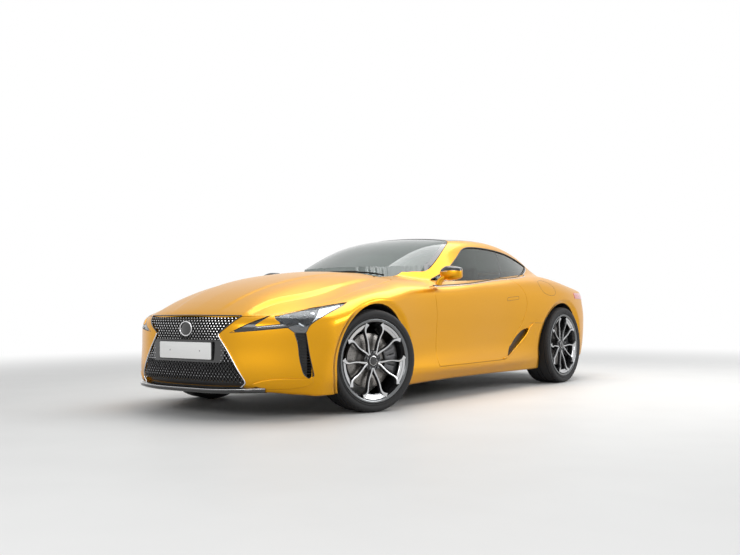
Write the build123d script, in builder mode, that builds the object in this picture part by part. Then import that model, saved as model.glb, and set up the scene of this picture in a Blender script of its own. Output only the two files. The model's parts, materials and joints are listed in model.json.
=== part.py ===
"""A two-door coupe car as an assembly of panels, glass, lamps, running gear and cabin pieces.

Millimetres. +Z is up, the nose points to -Y and the car's left side is +X. The origin is on the ground
under the middle of the car. The left half is described, and mirrored where both sides are alike.
"""

from build123d import *
import math
import os

os.makedirs("parts", exist_ok=True)

# ---------------------------------------------------------------- driving dimensions
wheelbase = 2870.0
front_overhang = 930.0
rear_overhang = 960.0
front_track = 1630.0
rear_track = 1635.0
ground_clearance = 160.0
rocker_z = 250.0          # height of the side's lower crest
waist_z = 430.0           # height of the hollow in the side
middle_z = 600.0          # height of the widest part of the side

skin = 22.0               # thickness of bolted outer panels
wall = 110.0              # thickness of doors and of the side frame
pillar = 40.0             # thickness of roof, roof rails and pillars
glass = 6.0
shut_gap = 13.0           # shut line round an opening panel
liner = 6.0               # thickness of the wheel arch liners
seam = 0.4                # joint line between fixed panels

tyre_radius = 355.0
front_tyre_width = 245.0
rear_tyre_width = 275.0
lip_radius = 290.0        # outer edge of the wheel's flange
seat_radius = 276.0       # where the tyre sits on the wheel
barrel = 11.0             # thickness of the wheel's barrel
flange = 6.0
hub_radius = 74.0
spoke_pairs = 5
spoke_spread = 19.0       # degrees between a pair's middle and each arm's end
disc_radius = 190.0
disc_thickness = 28.0
spindle_radius = 30.0
running_clearance = 0.05
arch_radius = 395.0
front_well_x = 480.0      # inner wall of the front wheel wells
rear_well_x = 630.0
steer_rest = -16.0        # the front wheels stand turned to the right
steering_ratio = 13.0
kingpin_inset = 15.0      # kingpin inboard of the tyre's middle
kingpin_radius = 12.0
upright_half = 115.0      # half height of a knuckle's upright

hinge_x = 868.0           # door hinge axis
hinge_setback = 60.0
hinge_pin_radius = 6.0
hinge_ring = 9.5          # outer radius of a door hinge's eye
hinge_half = 14.0         # half height of a door hinge's arm
hinge_heights = (560.0, 760.0)
clearance = 6.0           # between moving bodies
lid_pin_radius = 7.0

floor_z = 200.0
floor_thickness = 40.0

# ---------------------------------------------------------------- places along the car
nose_y = -(wheelbase + front_overhang + rear_overhang) / 2
tail_y = -nose_y
F = nose_y + front_overhang            # front axle
R = tail_y - rear_overhang             # rear axle
door_front_y = F + 770.0
door_rear_y = R - 660.0
firewall_y = F + 650.0
hinge_y = door_front_y + hinge_setback
hood_rear_y = F + 500.0
lid_front_y = R + 450.0

# Columns: y, then half-widths at the sill, rocker, waist, middle and crease, the crease's height,
# the top edge's half-width and height, and the height on the centre line.
BODY = [
    (nose_y,       640, 680, 690, 690, 640, 650, 400, 668, 684),
    (F - 530,      815, 858, 868, 878, 840, 730, 600, 795, 822),
    (F - 130,      862, 908, 920, 943, 916, 792, 700, 864, 898),
    (F + 270,      860, 905, 904, 924, 902, 801, 700, 912, 950),
    (F + 670,      852, 902, 878, 894, 886, 822, 742, 926, 982),
    (F + 1070,     850, 908, 869, 888, 878, 846, 794, 910, 986),
    (R - 1400,     850, 913, 861, 885, 875, 849, 800, 932, 989),
    (R - 1000,     850, 915, 867, 888, 878, 852, 800, 956, 995),
    (R - 600,      855, 915, 888, 912, 897, 857, 788, 995, 1003),
    (R - 200,      868, 919, 922, 950, 920, 863, 760, 1010, 1016),
    (R + 200,      867, 913, 930, 950, 915, 863, 734, 972, 1008),
    (R + 580,      800, 846, 864, 878, 848, 852, 665, 908, 970),
    (tail_y,       560, 610, 630, 640, 620, 815, 470, 850, 900),
]

# Columns: y, half-width at the foot, half-width and height of the roof rail, height on the centre line.
HOUSE = [
    (F + 550,  560, 420, 940, 972),
    (F + 950,  792, 598, 1075, 1178),
    (F + 1350, 842, 576, 1240, 1305),
    (R - 1120, 845, 558, 1298, 1342),
    (R - 720,  841, 546, 1291, 1341),
    (R - 320,  818, 530, 1240, 1292),
    (R + 80,   735, 498, 1135, 1192),
    (R + 490,  560, 420, 945, 980),
]
house_foot_z = 850.0

# Half-width and distance from the car's end, for the plan's corner, its bend and the end of its flat stretch.
NOSE_PLAN = [(1000, 620), (780, 270), (400, 28)]
TAIL_PLAN = [(1000, 560), (780, 200), (450, 40)]


def save(piece, name):
    """Labels a finished piece and writes its STEP file."""
    piece.part.label = name
    export_step(piece.part, f"parts/{name}.step")


def section_plane(y):
    """The cross-section plane at y: its x is the car's X and its y is the car's Z."""
    return Plane.XZ.offset(-y)


def body_loft(inset=0.0):
    """The lower body as one solid, or the same shape drawn in by inset."""
    with BuildPart() as body:
        for y, sill, rock, waist, mid, crease, crease_z, edge, edge_z, top_z in BODY:
            with BuildSketch(section_plane(y * (1 - inset / tail_y))):
                with BuildLine():
                    foot = (sill - inset, ground_clearance + inset)
                    rocker = (rock - inset, rocker_z + inset * 0.3)
                    hollow = (waist - inset, waist_z)
                    widest = (mid - inset, middle_z)
                    shoulder = (crease - inset, crease_z - inset * 0.4)
                    brow = (edge - inset * 0.7, edge_z - inset * 0.8)
                    bulge = ((shoulder[0] + brow[0]) / 2 + 8, (shoulder[1] + brow[1]) / 2 + 8)
                    crown = (0, top_z - inset)
                    Line((-foot[0], foot[1]), foot)
                    for side in (1, -1):
                        path = [(side * x, z) for x, z in (foot, rocker, hollow, widest, shoulder, bulge, brow)]
                        Line(path[0], path[1])
                        ThreePointArc(path[1], path[2], path[3])
                        Line(path[3], path[4])
                        ThreePointArc(path[4], path[5], path[6])
                    ThreePointArc(brow, crown, (-brow[0], brow[1]))
                make_face()
        loft()
        with BuildSketch(Plane.XY):
            with BuildLine():
                for end, shape in ((nose_y + inset, NOSE_PLAN), (tail_y - inset, TAIL_PLAN)):
                    toward = 1 if end < 0 else -1
                    corner, bend, flat = [(x - inset, end + toward * depth) for x, depth in shape]
                    ThreePointArc((-flat[0], flat[1]), (0, end), flat)
                    for side in (1, -1):
                        ThreePointArc((side * flat[0], flat[1]), (side * bend[0], bend[1]),
                                      (side * corner[0], corner[1]))
                for side in (1, -1):
                    Line((side * (NOSE_PLAN[0][0] - inset), nose_y + inset + NOSE_PLAN[0][1]),
                         (side * (TAIL_PLAN[0][0] - inset), tail_y - inset - TAIL_PLAN[0][1]))
            make_face()
        extrude(amount=1500, mode=Mode.INTERSECT)
    return body.part


def house_loft(inset=0.0):
    """The glasshouse as one solid, or the same shape drawn in by inset."""
    with BuildPart() as house:
        for y, foot_x, rail_x, rail_z, top_z in HOUSE:
            with BuildSketch(section_plane(y)):
                with BuildLine():
                    foot = (foot_x - inset, house_foot_z)
                    rail = (rail_x - inset, rail_z - inset * 0.8)
                    Line((-foot[0], foot[1]), foot)
                    Line(foot, rail)
                    ThreePointArc(rail, (0, top_z - inset), (-rail[0], rail[1]))
                    Line((-rail[0], rail[1]), (-foot[0], foot[1]))
                make_face()
        loft()
    return house.part


def prism(plane, outline, depth, grow=0.0):
    """An outline drawn on a plane, grown by an amount and extruded along the plane's normal."""
    with BuildPart() as block:
        with BuildSketch(plane):
            with BuildLine():
                Polyline(*outline, close=True)
            make_face()
            if grow:
                offset(amount=grow, kind=Kind.INTERSECTION)
        extrude(amount=depth)
    return block.part


def side_prism(outline, inner, outer, grow=0.0):
    """A (y, z) outline as a prism on the left side, from x = inner to x = outer."""
    return prism(Plane.YZ.offset(inner), outline, outer - inner, grow)


def top_prism(half_outline, low, high, grow=0.0):
    """Half of an (x, y) outline, mirrored across the centre line, from z = low to z = high."""
    whole = list(half_outline) + [(-x, y) for x, y in reversed(half_outline) if x > 0]
    return prism(Plane.XY.offset(low), whole, high - low, grow)


def front_prism(outline, y_from, y_to, grow=0.0):
    """An (x, z) outline as a prism from y_from back to y_to."""
    return prism(Plane.XZ.offset(-y_to), outline, y_to - y_from, grow)


def slab(x, y, z):
    """A block between two x, two y and two z values."""
    with BuildPart() as block:
        with BuildSketch(Plane.XY.offset(z[0])):
            with Locations(((x[0] + x[1]) / 2, (y[0] + y[1]) / 2)):
                Rectangle(x[1] - x[0], y[1] - y[0])
        extrude(amount=z[1] - z[0])
    return block.part


def rod(start, end, radius):
    """A round bar between two points."""
    line = Vector(*end) - Vector(*start)
    with BuildPart() as bar:
        with BuildSketch(Plane(origin=start, z_dir=line)):
            Circle(radius)
        extrude(amount=line.length)
    return bar.part


def mirrored(part):
    """The same shape on the other side of the car."""
    return mirror(part, about=Plane.YZ, mode=Mode.PRIVATE)


# ---------------------------------------------------------------- outlines of the panels
door_outline = [
    (door_front_y - 8, 292), (door_front_y - 4, 492), (door_front_y - 21, 740), (door_front_y - 68, 872),
    (door_front_y - 60, 915), (door_front_y + 30, 940), (door_front_y + 200, 1010),
    (door_rear_y - 150, 1010), (door_rear_y - 60, 880), (door_rear_y, 800),
    (door_rear_y - 12, 715), (door_rear_y - 130, 552), (door_rear_y - 370, 292),
]
door_window = [
    (door_front_y - 40, 870), (door_front_y + 30, 935), (F + 1520, 1188), (F + 1630, 1228),
    (F + 1780, 1244), (R - 715, 1224), (R - 885, 965), (R - 950, 870),
]
quarter_window = [
    (R - 852, 968), (R - 672, 1224), (R - 490, 1192), (R - 425, 1075), (R - 520, 1022), (R - 640, 985),
]
hood_outline = [
    (0, nose_y + 45), (390, nose_y + 150), (540, F - 670), (655, F - 520), (690, F - 400),
    (700, F + 430), (560, F + 480), (0, hood_rear_y),
]
windscreen_outline = [(0, F + 560), (400, F + 640), (560, F + 770), (515, F + 1480), (0, F + 1450)]
roof_outline = [(0, F + 1450), (515, F + 1480), (495, R - 400), (0, R - 380)]
rear_window_outline = [(0, R - 380), (495, R - 400), (440, R + 330), (0, R + 420)]
lid_outline = [(0, lid_front_y), (560, lid_front_y + 10), (520, tail_y + 40), (0, tail_y + 40)]
grille_outline = [
    (0, 676), (380, 668), (300, 575), (520, 282), (500, 232), (-500, 232), (-520, 282), (-300, 575), (-380, 668),
]
lamp_outline = [(370, 580), (560, 690), (760, 742), (900, 790), (920, 745), (900, 640), (800, 590), (600, 604)]
tail_lamp_outline = [(545, 705), (545, 815), (720, 852), (980, 852), (980, 790), (720, 735)]

bumper_rear_y = F - 430.0
plate_z = 450.0           # middle of the number plate
plate_bolt_x = 150.0
plate_bolt_radius = 3.5
lamp_rear_y = F - 220.0
lid_low_z = 690.0
tail_split_y = R + 440.0

# ---------------------------------------------------------------- shared shapes
hull = body_loft()
hull_skin = body_loft(skin)
hull_wall = body_loft(wall)
house = house_loft()
house_pillar = house_loft(pillar)
house_glass = house_loft(glass)


def wells(radius=arch_radius, margin=0.0):
    """The four wheel wells."""
    with BuildPart() as holes:
        for y, inner in ((F, front_well_x), (R, rear_well_x)):
            for side in (1, -1):
                with BuildSketch(Plane.YZ.offset(side * (inner - margin))):
                    with Locations((y, tyre_radius)):
                        Circle(radius)
                extrude(amount=side * (1100 - inner))
    return holes.part


well_holes = wells()
hood_cut = top_prism(hood_outline, 640, 1200, shut_gap)
lid_cut = top_prism(lid_outline, lid_low_z - shut_gap, 1200, shut_gap)
lamp_cut = front_prism(lamp_outline, nose_y - 50, lamp_rear_y, seam)
tail_lamp_cut = front_prism(tail_lamp_outline, tail_split_y, tail_y + 50, seam)

with BuildPart() as outer_skin:
    add(hull)
    add(hull_skin, mode=Mode.SUBTRACT)
    add(well_holes, mode=Mode.SUBTRACT)
shell = outer_skin.part


# ---------------------------------------------------------------- hood
def hinge_ear(x, y, z, reach):
    """A hanging lug with its pin through it, for a lid's hinge."""
    with BuildPart() as ear:
        add(slab((x - 8, x + 8), (y - 12, y + 12), (z - 10, z + reach)))
        add(rod((x - 30, y, z), (x + 30, y, z), lid_pin_radius))
    return ear.part


def hinge_fork(x, y, z, foot_z):
    """Two upright plates with bores, for a lid's hinge pin."""
    with BuildPart() as fork:
        for side in (-1, 1):
            inner = x + side * 15
            add(slab(sorted((inner, inner + side * 10)), (y - 14, y + 10), (foot_z, z + 9)))
        add(rod((x - 40, y, z), (x + 40, y, z), lid_pin_radius + running_clearance), mode=Mode.SUBTRACT)
    return fork.part


hood_hinge = (520.0, hood_rear_y - 18.0, 902.0)
with BuildPart() as hood:
    add(shell)
    add(top_prism(hood_outline, 690, 1200), mode=Mode.INTERSECT)
    for side in (1, -1):
        add(hinge_ear(side * hood_hinge[0], hood_hinge[1], hood_hinge[2], 38))
save(hood, "hood")

# ---------------------------------------------------------------- front fenders
cowl_half = 560.0
fender_rear_y = firewall_y - 30.0
fender_outline = [
    (bumper_rear_y, 560), (bumper_rear_y, 1000), (fender_rear_y, 1000), (fender_rear_y, 945),
    (door_front_y - 68 - shut_gap, 872), (door_front_y - 21 - shut_gap, 740),
    (door_front_y - 4 - shut_gap, 492), (door_front_y - 8 - shut_gap, 200), (F + 300, 200), (F, 400),
]
with BuildPart() as front_fenders:
    add(shell)
    add(side_prism(fender_outline, cowl_half + seam, 1100), mode=Mode.INTERSECT)
    add(hood_cut, mode=Mode.SUBTRACT)
    add(lamp_cut, mode=Mode.SUBTRACT)
    add(slab((cowl_half, 660), (hood_hinge[1] - 45, hood_hinge[1] + 40), (880, 1100)), mode=Mode.SUBTRACT)
    mirror(about=Plane.YZ)
save(front_fenders, "front_fenders")

# ---------------------------------------------------------------- front bumper, grille and headlamps
with BuildPart() as front_bumper:
    add(shell)
    add(slab((-1100, 1100), (nose_y - 50, bumper_rear_y - seam), (0, 900)), mode=Mode.INTERSECT)
    add(hood_cut, mode=Mode.SUBTRACT)
    add(lamp_cut, mode=Mode.SUBTRACT)
    add(mirrored(lamp_cut), mode=Mode.SUBTRACT)
    add(front_prism(grille_outline, nose_y - 50, nose_y + 300, seam), mode=Mode.SUBTRACT)
save(front_bumper, "front_bumper")

with BuildPart() as grille:
    add(front_prism(grille_outline, nose_y - 50, nose_y + 300))
    add(hull, mode=Mode.INTERSECT)
    add(hull_skin, mode=Mode.SUBTRACT)
    with Locations((-plate_bolt_x, nose_y - 50, plate_z), (plate_bolt_x, nose_y - 50, plate_z)):
        Cylinder(plate_bolt_radius, 300, rotation=(90, 0, 0), mode=Mode.SUBTRACT)
save(grille, "grille")

with BuildPart() as headlamps:
    add(front_prism(lamp_outline, nose_y - 50, lamp_rear_y - seam))
    add(hull, mode=Mode.INTERSECT)
    add(hull_wall, mode=Mode.SUBTRACT)
    add(hood_cut, mode=Mode.SUBTRACT)
    add(wells(arch_radius + liner + seam, liner), mode=Mode.SUBTRACT)
    mirror(about=Plane.YZ)
save(headlamps, "headlamps")

# ---------------------------------------------------------------- body structure and glass
with BuildPart() as whole_shell:
    add(hull)
    add(house)
    add(hull_wall, mode=Mode.SUBTRACT)
    add(house_pillar, mode=Mode.SUBTRACT)
    add(wells(arch_radius + liner, liner), mode=Mode.SUBTRACT)
    add(slab((-690, 690), (firewall_y + 40, R - 380), (700, 870)), mode=Mode.SUBTRACT)

sill_inner_x = 740.0
floor_top = floor_z + floor_thickness
bumper_split_y = R + 340.0
bumper_top_z = 695.0
rear_edge_y = tail_y + 50.0
hinge_reach = 132.0       # how far the door's front corner stands from its hinge axis
post_x = hinge_x - hinge_reach - clearance
jack_z = ground_clearance + 2
lid_swing_x = 575.0       # the strip ahead of the trunk lid that its front edge swings through
lid_swing_y = lid_front_y - 34


def hinge_cylinder(radius, low, high):
    """An upright cylinder on the left door's hinge axis."""
    return rod((hinge_x, hinge_y, low), (hinge_x, hinge_y, high), radius)


with BuildPart() as frame_half:
    add(whole_shell.part)
    add(slab((seam / 2, 1100), (fender_rear_y + seam, rear_edge_y), (0, 1500)), mode=Mode.INTERSECT)
    add(side_prism(fender_outline, cowl_half, 1100, seam), mode=Mode.SUBTRACT)
    add(slab((-cowl_half - seam, cowl_half + seam), (nose_y, firewall_y + 40 + seam), (0, 1050)), mode=Mode.SUBTRACT)
    add(slab((0, sill_inner_x), (nose_y, rear_edge_y), (0, 275)), mode=Mode.SUBTRACT)
    add(slab((0, 1100), (bumper_split_y - seam, rear_edge_y), (0, bumper_top_z + seam)), mode=Mode.SUBTRACT)
    add(side_prism(door_outline, 600, 1100, shut_gap), mode=Mode.SUBTRACT)
    add(side_prism(door_window, 400, 1100, 8), mode=Mode.SUBTRACT)
    add(side_prism(quarter_window, 400, 1100, seam), mode=Mode.SUBTRACT)
    add(top_prism(windscreen_outline, 900, 1400, seam), mode=Mode.SUBTRACT)
    add(top_prism(roof_outline, 1200, 1400, seam), mode=Mode.SUBTRACT)
    add(top_prism(rear_window_outline, 900, 1400, seam), mode=Mode.SUBTRACT)
    add(lid_cut, mode=Mode.SUBTRACT)
    add(tail_lamp_cut, mode=Mode.SUBTRACT)
    add(hinge_cylinder(hinge_reach + clearance, 275, 940), mode=Mode.SUBTRACT)
    add(slab((post_x - 50, post_x), (firewall_y, hinge_y + 20), (floor_top, 900)))
    add(slab((post_x - 50, sill_inner_x + 40), (door_front_y, hinge_y + 20), (floor_top, 275)))
    for height in hinge_heights:
        low, high = height - hinge_half, height + hinge_half
        add(slab((post_x - 10, hinge_x), (hinge_y - hinge_ring, hinge_y + hinge_ring), (low, high)))
        add(hinge_cylinder(hinge_ring, low, high))
        add(hinge_cylinder(hinge_pin_radius + running_clearance, low, high), mode=Mode.SUBTRACT)
    add(slab((0, 1100), (nose_y, rear_edge_y), (0, jack_z)), mode=Mode.SUBTRACT)
    add(slab((0, lid_swing_x), (lid_swing_y, lid_front_y + 20), (880, 1100)), mode=Mode.SUBTRACT)
    add(slab((0, 60), (R + 300, lid_front_y + 20), (880, 1100)), mode=Mode.SUBTRACT)

with BuildPart() as side_frame_left:
    add(frame_half.part)
save(side_frame_left, "side_frame_left")
with BuildPart() as side_frame_right:
    add(mirrored(frame_half.part))
save(side_frame_right, "side_frame_right")

with BuildPart() as windshield:
    add(top_prism(windscreen_outline, 900, 1400))
    add(house, mode=Mode.INTERSECT)
    add(house_glass, mode=Mode.SUBTRACT)
    add(hull, mode=Mode.SUBTRACT)
save(windshield, "windshield")

with BuildPart() as rear_window:
    add(top_prism(rear_window_outline, 900, 1400))
    add(house, mode=Mode.INTERSECT)
    add(house_glass, mode=Mode.SUBTRACT)
    add(hull, mode=Mode.SUBTRACT)
save(rear_window, "rear_window")

with BuildPart() as roof_panel:
    add(top_prism(roof_outline, 1200, 1400))
    add(house, mode=Mode.INTERSECT)
    add(house_pillar, mode=Mode.SUBTRACT)
save(roof_panel, "roof_panel")

with BuildPart() as quarter_glass:
    add(side_prism(quarter_window, 400, 1100))
    add(house, mode=Mode.INTERSECT)
    add(house_glass, mode=Mode.SUBTRACT)
    add(hull, mode=Mode.SUBTRACT)
    mirror(about=Plane.YZ)
save(quarter_glass, "quarter_glass")


# ---------------------------------------------------------------- doors
mirror_y = hinge_y + 45.0
mirror_z = 985.0
with BuildPart() as front_rest:
    add(slab((600, 1100), (door_front_y - 200, hinge_y), (0, 1100)))
    add(hinge_cylinder(hinge_reach, 0, 1100), mode=Mode.SUBTRACT)

with BuildPart() as door_half:
    add(hull)
    add(hull_wall, mode=Mode.SUBTRACT)
    add(side_prism(door_outline, 690, 1100), mode=Mode.INTERSECT)
    add(slab((600, hinge_x - hinge_reach), (door_front_y - 200, hinge_y + 40), (0, 1100)), mode=Mode.SUBTRACT)
    add(front_rest.part, mode=Mode.SUBTRACT)
    for height in hinge_heights:
        low, high = height - hinge_half - clearance, height + hinge_half + clearance
        add(slab((600, hinge_x), (door_front_y - 200, hinge_y + hinge_ring + clearance), (low, high)),
            mode=Mode.SUBTRACT)
        add(slab((600, hinge_x + hinge_ring + clearance), (door_front_y - 200, hinge_y), (low, high)),
            mode=Mode.SUBTRACT)
        add(hinge_cylinder(hinge_ring + clearance - 1, low, high), mode=Mode.SUBTRACT)
        add(hinge_cylinder(hinge_pin_radius, low - 4, high + 4))

with BuildPart() as glass_half:
    add(side_prism(door_window, 400, 1100))
    add(house, mode=Mode.INTERSECT)
    add(house_glass, mode=Mode.SUBTRACT)
    add(hull, mode=Mode.SUBTRACT)

with BuildPart() as mirror_half:
    with BuildSketch(Plane.YZ.offset(860)):
        with Locations((mirror_y, mirror_z)):
            Ellipse(48, 52)
    with BuildSketch(Plane.YZ.offset(950)):
        with Locations((mirror_y + 5, mirror_z)):
            Ellipse(62, 68)
    with BuildSketch(Plane.YZ.offset(1045)):
        with Locations((mirror_y + 20, mirror_z - 2)):
            Ellipse(40, 48)
    loft()
    add(slab((800, 880), (mirror_y - 22, mirror_y + 22), (885, mirror_z - 30)))
    add(hull, mode=Mode.SUBTRACT)
    add(house, mode=Mode.SUBTRACT)

for side, about in (("left", False), ("right", True)):
    for label, half in (("door", door_half), ("door_glass", glass_half), ("mirror", mirror_half)):
        with BuildPart() as piece:
            add(mirrored(half.part) if about else half.part)
        save(piece, f"{label}_{side}")

# ---------------------------------------------------------------- trunk lid, tail lamps, rear bumper
outlet_x = 430.0
outlet_radius = 42.0
lid_hinge = (400.0, lid_front_y + 30.0, 915.0)
with BuildPart() as trunk_lid:
    add(shell)
    add(top_prism(lid_outline, lid_low_z, 1200), mode=Mode.INTERSECT)
    add(slab((-1100, 1100), (lid_front_y - 50, rear_edge_y), (lid_low_z, 1200)), mode=Mode.INTERSECT)
    for side in (1, -1):
        add(hinge_ear(side * lid_hinge[0], lid_hinge[1], lid_hinge[2], 42))
save(trunk_lid, "trunk_lid")

with BuildPart() as tail_lamps:
    add(front_prism(tail_lamp_outline, tail_split_y + seam, tail_y + 50))
    add(hull, mode=Mode.INTERSECT)
    add(hull_wall, mode=Mode.SUBTRACT)
    mirror(about=Plane.YZ)
save(tail_lamps, "tail_lamps")

with BuildPart() as rear_bumper:
    add(shell)
    add(slab((-1100, 1100), (bumper_split_y, rear_edge_y), (0, bumper_top_z)), mode=Mode.INTERSECT)
    add(slab((-600, 600), (bumper_split_y, tail_y - 90), (0, 260)), mode=Mode.SUBTRACT)
    add(slab((-outlet_x - 60, outlet_x + 60), (tail_y - 200, rear_edge_y), (180, 310)), mode=Mode.SUBTRACT)
    add(lid_cut, mode=Mode.SUBTRACT)
    add(tail_lamp_cut, mode=Mode.SUBTRACT)
    add(mirrored(tail_lamp_cut), mode=Mode.SUBTRACT)
save(rear_bumper, "rear_bumper")

# ---------------------------------------------------------------- floor, firewall and rear bulkhead
rear_floor_x = rear_well_x - liner
trunk_end_y = tail_y - 140.0
bulkhead_y = R - arch_radius - liner - 30
trunk_floor_z = 500.0
with BuildPart() as floor_pan:
    add(slab((-sill_inner_x, sill_inner_x), (firewall_y, bulkhead_y + 30), (floor_z, floor_top)))
    add(slab((-rear_floor_x, rear_floor_x), (bulkhead_y + 30, trunk_end_y), (trunk_floor_z, trunk_floor_z + 30)))
save(floor_pan, "floor_pan")

rail_x = (360.0, 440.0)
rail_z = (502.3, 560.0)
with BuildPart() as front_rails:
    add(slab(rail_x, (nose_y + 200, firewall_y), rail_z))
    mirror(about=Plane.YZ)
save(front_rails, "front_rails")

shelf_z = 830.0
firewall_half = 680.0
with BuildPart() as cowl_top:
    add(hull)
    add(hull_skin, mode=Mode.SUBTRACT)
    add(slab((-cowl_half, cowl_half), (hood_rear_y + 55, firewall_y + 40), (880, 1100)), mode=Mode.INTERSECT)

with BuildPart() as firewall:
    add(slab((-firewall_half, firewall_half), (firewall_y, firewall_y + 30), (floor_top, shelf_z)))
    add(slab((-cowl_half, cowl_half), (firewall_y, firewall_y + 30), (shelf_z, 950)))
    add(slab((-cowl_half, cowl_half), (hood_hinge[1] - 30, firewall_y + 30), (shelf_z, shelf_z + 15)))
    add(cowl_top.part)
    add(slab((-cowl_half, cowl_half), (hood_rear_y + 55, hood_rear_y + 70), (shelf_z, 935)))
    for side in (1, -1):
        add(hinge_fork(side * hood_hinge[0], hood_hinge[1], hood_hinge[2], shelf_z + 15))
save(firewall, "firewall")

parcel_z = 815.0
with BuildPart() as rear_bulkhead:
    add(slab((-rear_floor_x, rear_floor_x), (bulkhead_y, bulkhead_y + 30), (floor_top, parcel_z)))
    add(slab((-700, 700), (bulkhead_y, lid_hinge[1] + 20), (parcel_z - 20, parcel_z)))
    add(hull_wall, mode=Mode.INTERSECT)
    for side in (1, -1):
        add(hinge_fork(side * lid_hinge[0], lid_hinge[1], lid_hinge[2], parcel_z))
    add(wells(arch_radius + liner, liner), mode=Mode.SUBTRACT)
save(rear_bulkhead, "rear_bulkhead")

# ---------------------------------------------------------------- wheel arch liners
with BuildPart() as arch_liners:
    for y, inner in ((F, front_well_x), (R, rear_well_x)):
        with BuildSketch(Plane.YZ.offset(inner)):
            with Locations((y, tyre_radius)):
                Circle(arch_radius + liner)
                Circle(arch_radius, mode=Mode.SUBTRACT)
            with Locations((y, tyre_radius - 500)):
                Rectangle(1000, 1000 - 160, mode=Mode.SUBTRACT)
        extrude(amount=1100 - inner)
    add(hull_skin, mode=Mode.INTERSECT)
    mirror(about=Plane.YZ)
save(arch_liners, "arch_liners")

# ---------------------------------------------------------------- cabin
seat_x = 370.0
with BuildPart() as front_seats:
    with BuildSketch(Plane.YZ.offset(seat_x - 255)):
        with BuildLine():
            Polyline(
                (-120, floor_top), (-150, 470), (330, 455), (520, 880), (545, 1090), (640, 1080), (640, 880),
                (560, 480), (520, floor_top), close=True)
        make_face()
    extrude(amount=510)
    mirror(about=Plane.YZ)
save(front_seats, "front_seats")

with BuildPart() as rear_seat:
    with BuildSketch(Plane.YZ.offset(-590)):
        with BuildLine():
            Polyline(
                (700, floor_top), (690, 480), (880, 470), (960, 860), (bulkhead_y, 860), (bulkhead_y, floor_top),
                close=True)
        make_face()
    extrude(amount=1180)
save(rear_seat, "rear_seat")

column_tilt = 24.0
wheel_centre = Vector(seat_x, -190, 800)
column_axis = Vector(0, math.cos(math.radians(column_tilt)), math.sin(math.radians(column_tilt)))
column_start = wheel_centre - column_axis * 200
shaft_radius = 16.0
dash_rear_y = -330.0
dash_half = 600.0
with BuildPart() as dashboard:
    with BuildSketch(Plane.YZ.offset(-dash_half)):
        with BuildLine():
            Polyline(
                (firewall_y + 30, 560), (firewall_y + 30, 888), (firewall_y + 60, 920), (dash_rear_y - 60, 905),
                (dash_rear_y, 850), (dash_rear_y - 20, 700), (dash_rear_y - 120, 560), close=True)
        make_face()
    extrude(amount=2 * dash_half)
    for side in (1, -1):
        corner_x = sorted((side * (dash_half - 95), side * (dash_half + 1)))
        add(slab(corner_x, (firewall_y, dash_rear_y - 335), (860, 1000)), mode=Mode.SUBTRACT)
    add(rod(tuple(column_start - column_axis * 10), tuple(wheel_centre), shaft_radius + running_clearance),
        mode=Mode.SUBTRACT)
save(dashboard, "dashboard")

with BuildPart() as center_console:
    with BuildSketch(Plane.YZ.offset(-95)):
        with BuildLine():
            Polyline(
                (dash_rear_y - 119, 559), (dash_rear_y - 119, floor_top), (600, floor_top), (600, 540),
                (0, 560), (dash_rear_y - 60, 620), close=True)
        make_face()
    extrude(amount=190)
    add(dashboard.part, mode=Mode.SUBTRACT)
save(center_console, "center_console")

ring_radius = 178.0
with BuildPart() as steering_wheel:
    rim_plane = Plane(origin=wheel_centre, z_dir=column_axis, x_dir=(1, 0, 0))
    with BuildSketch(Plane(origin=wheel_centre, x_dir=(1, 0, 0), z_dir=column_axis.cross(Vector(1, 0, 0)))):
        with Locations((ring_radius, 0)):
            Circle(16)
    revolve(axis=Axis(wheel_centre, column_axis))
    turned = steer_rest * steering_ratio
    with BuildSketch(rim_plane.offset(-12)):
        Circle(58)
        for spoke_angle in (0, 180, 270):
            with Locations(Rot(0, 0, spoke_angle + turned) * Pos(ring_radius / 2, 0, 0)):
                Rectangle(ring_radius, 34)
    extrude(amount=20)
    add(rod(tuple(column_start), tuple(wheel_centre), shaft_radius))
save(steering_wheel, "steering_wheel")

# ---------------------------------------------------------------- engine, subframes, exhaust
subframe_top = 290.0
with BuildPart() as engine_block:
    add(slab((-290, 290), (F - 40, firewall_y - 60), (subframe_top, 800)))
save(engine_block, "engine_block")

arm_x = 420.0             # inner end of the suspension arms
king_x = front_track / 2 - kingpin_inset
arm_half = 13.0
arm_eye = 26.0
arm_bottom = upright_half + clearance
with BuildPart() as front_subframe:
    for end_y in (F - 260, F + 200):
        add(slab((-arm_x, arm_x), (end_y, end_y + 60), (floor_z, subframe_top)))
    for side in (1, -1):
        add(slab(sorted((side * (arm_x - 60), side * arm_x)), (F - 260, F + 260), (floor_z, subframe_top)))
        add(slab(sorted((side * (arm_x - 60), side * arm_x)), (F - 40, F + 40), (subframe_top, rail_z[0])))
        for turn in (1, -1):
            middle = tyre_radius + turn * (arm_bottom + arm_half)
            low, high = middle - arm_half, middle + arm_half
            add(slab(sorted((side * (arm_x - 30), side * king_x)), (F - arm_eye, F + arm_eye), (low, high)))
            add(rod((side * king_x, F, low), (side * king_x, F, high), arm_eye))
            add(rod((side * king_x, F, low), (side * king_x, F, high), kingpin_radius + running_clearance),
                mode=Mode.SUBTRACT)
    add(slab((-290, 290), (F - 40, firewall_y - 60), (subframe_top, 800)), mode=Mode.SUBTRACT)
save(front_subframe, "front_subframe")

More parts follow.
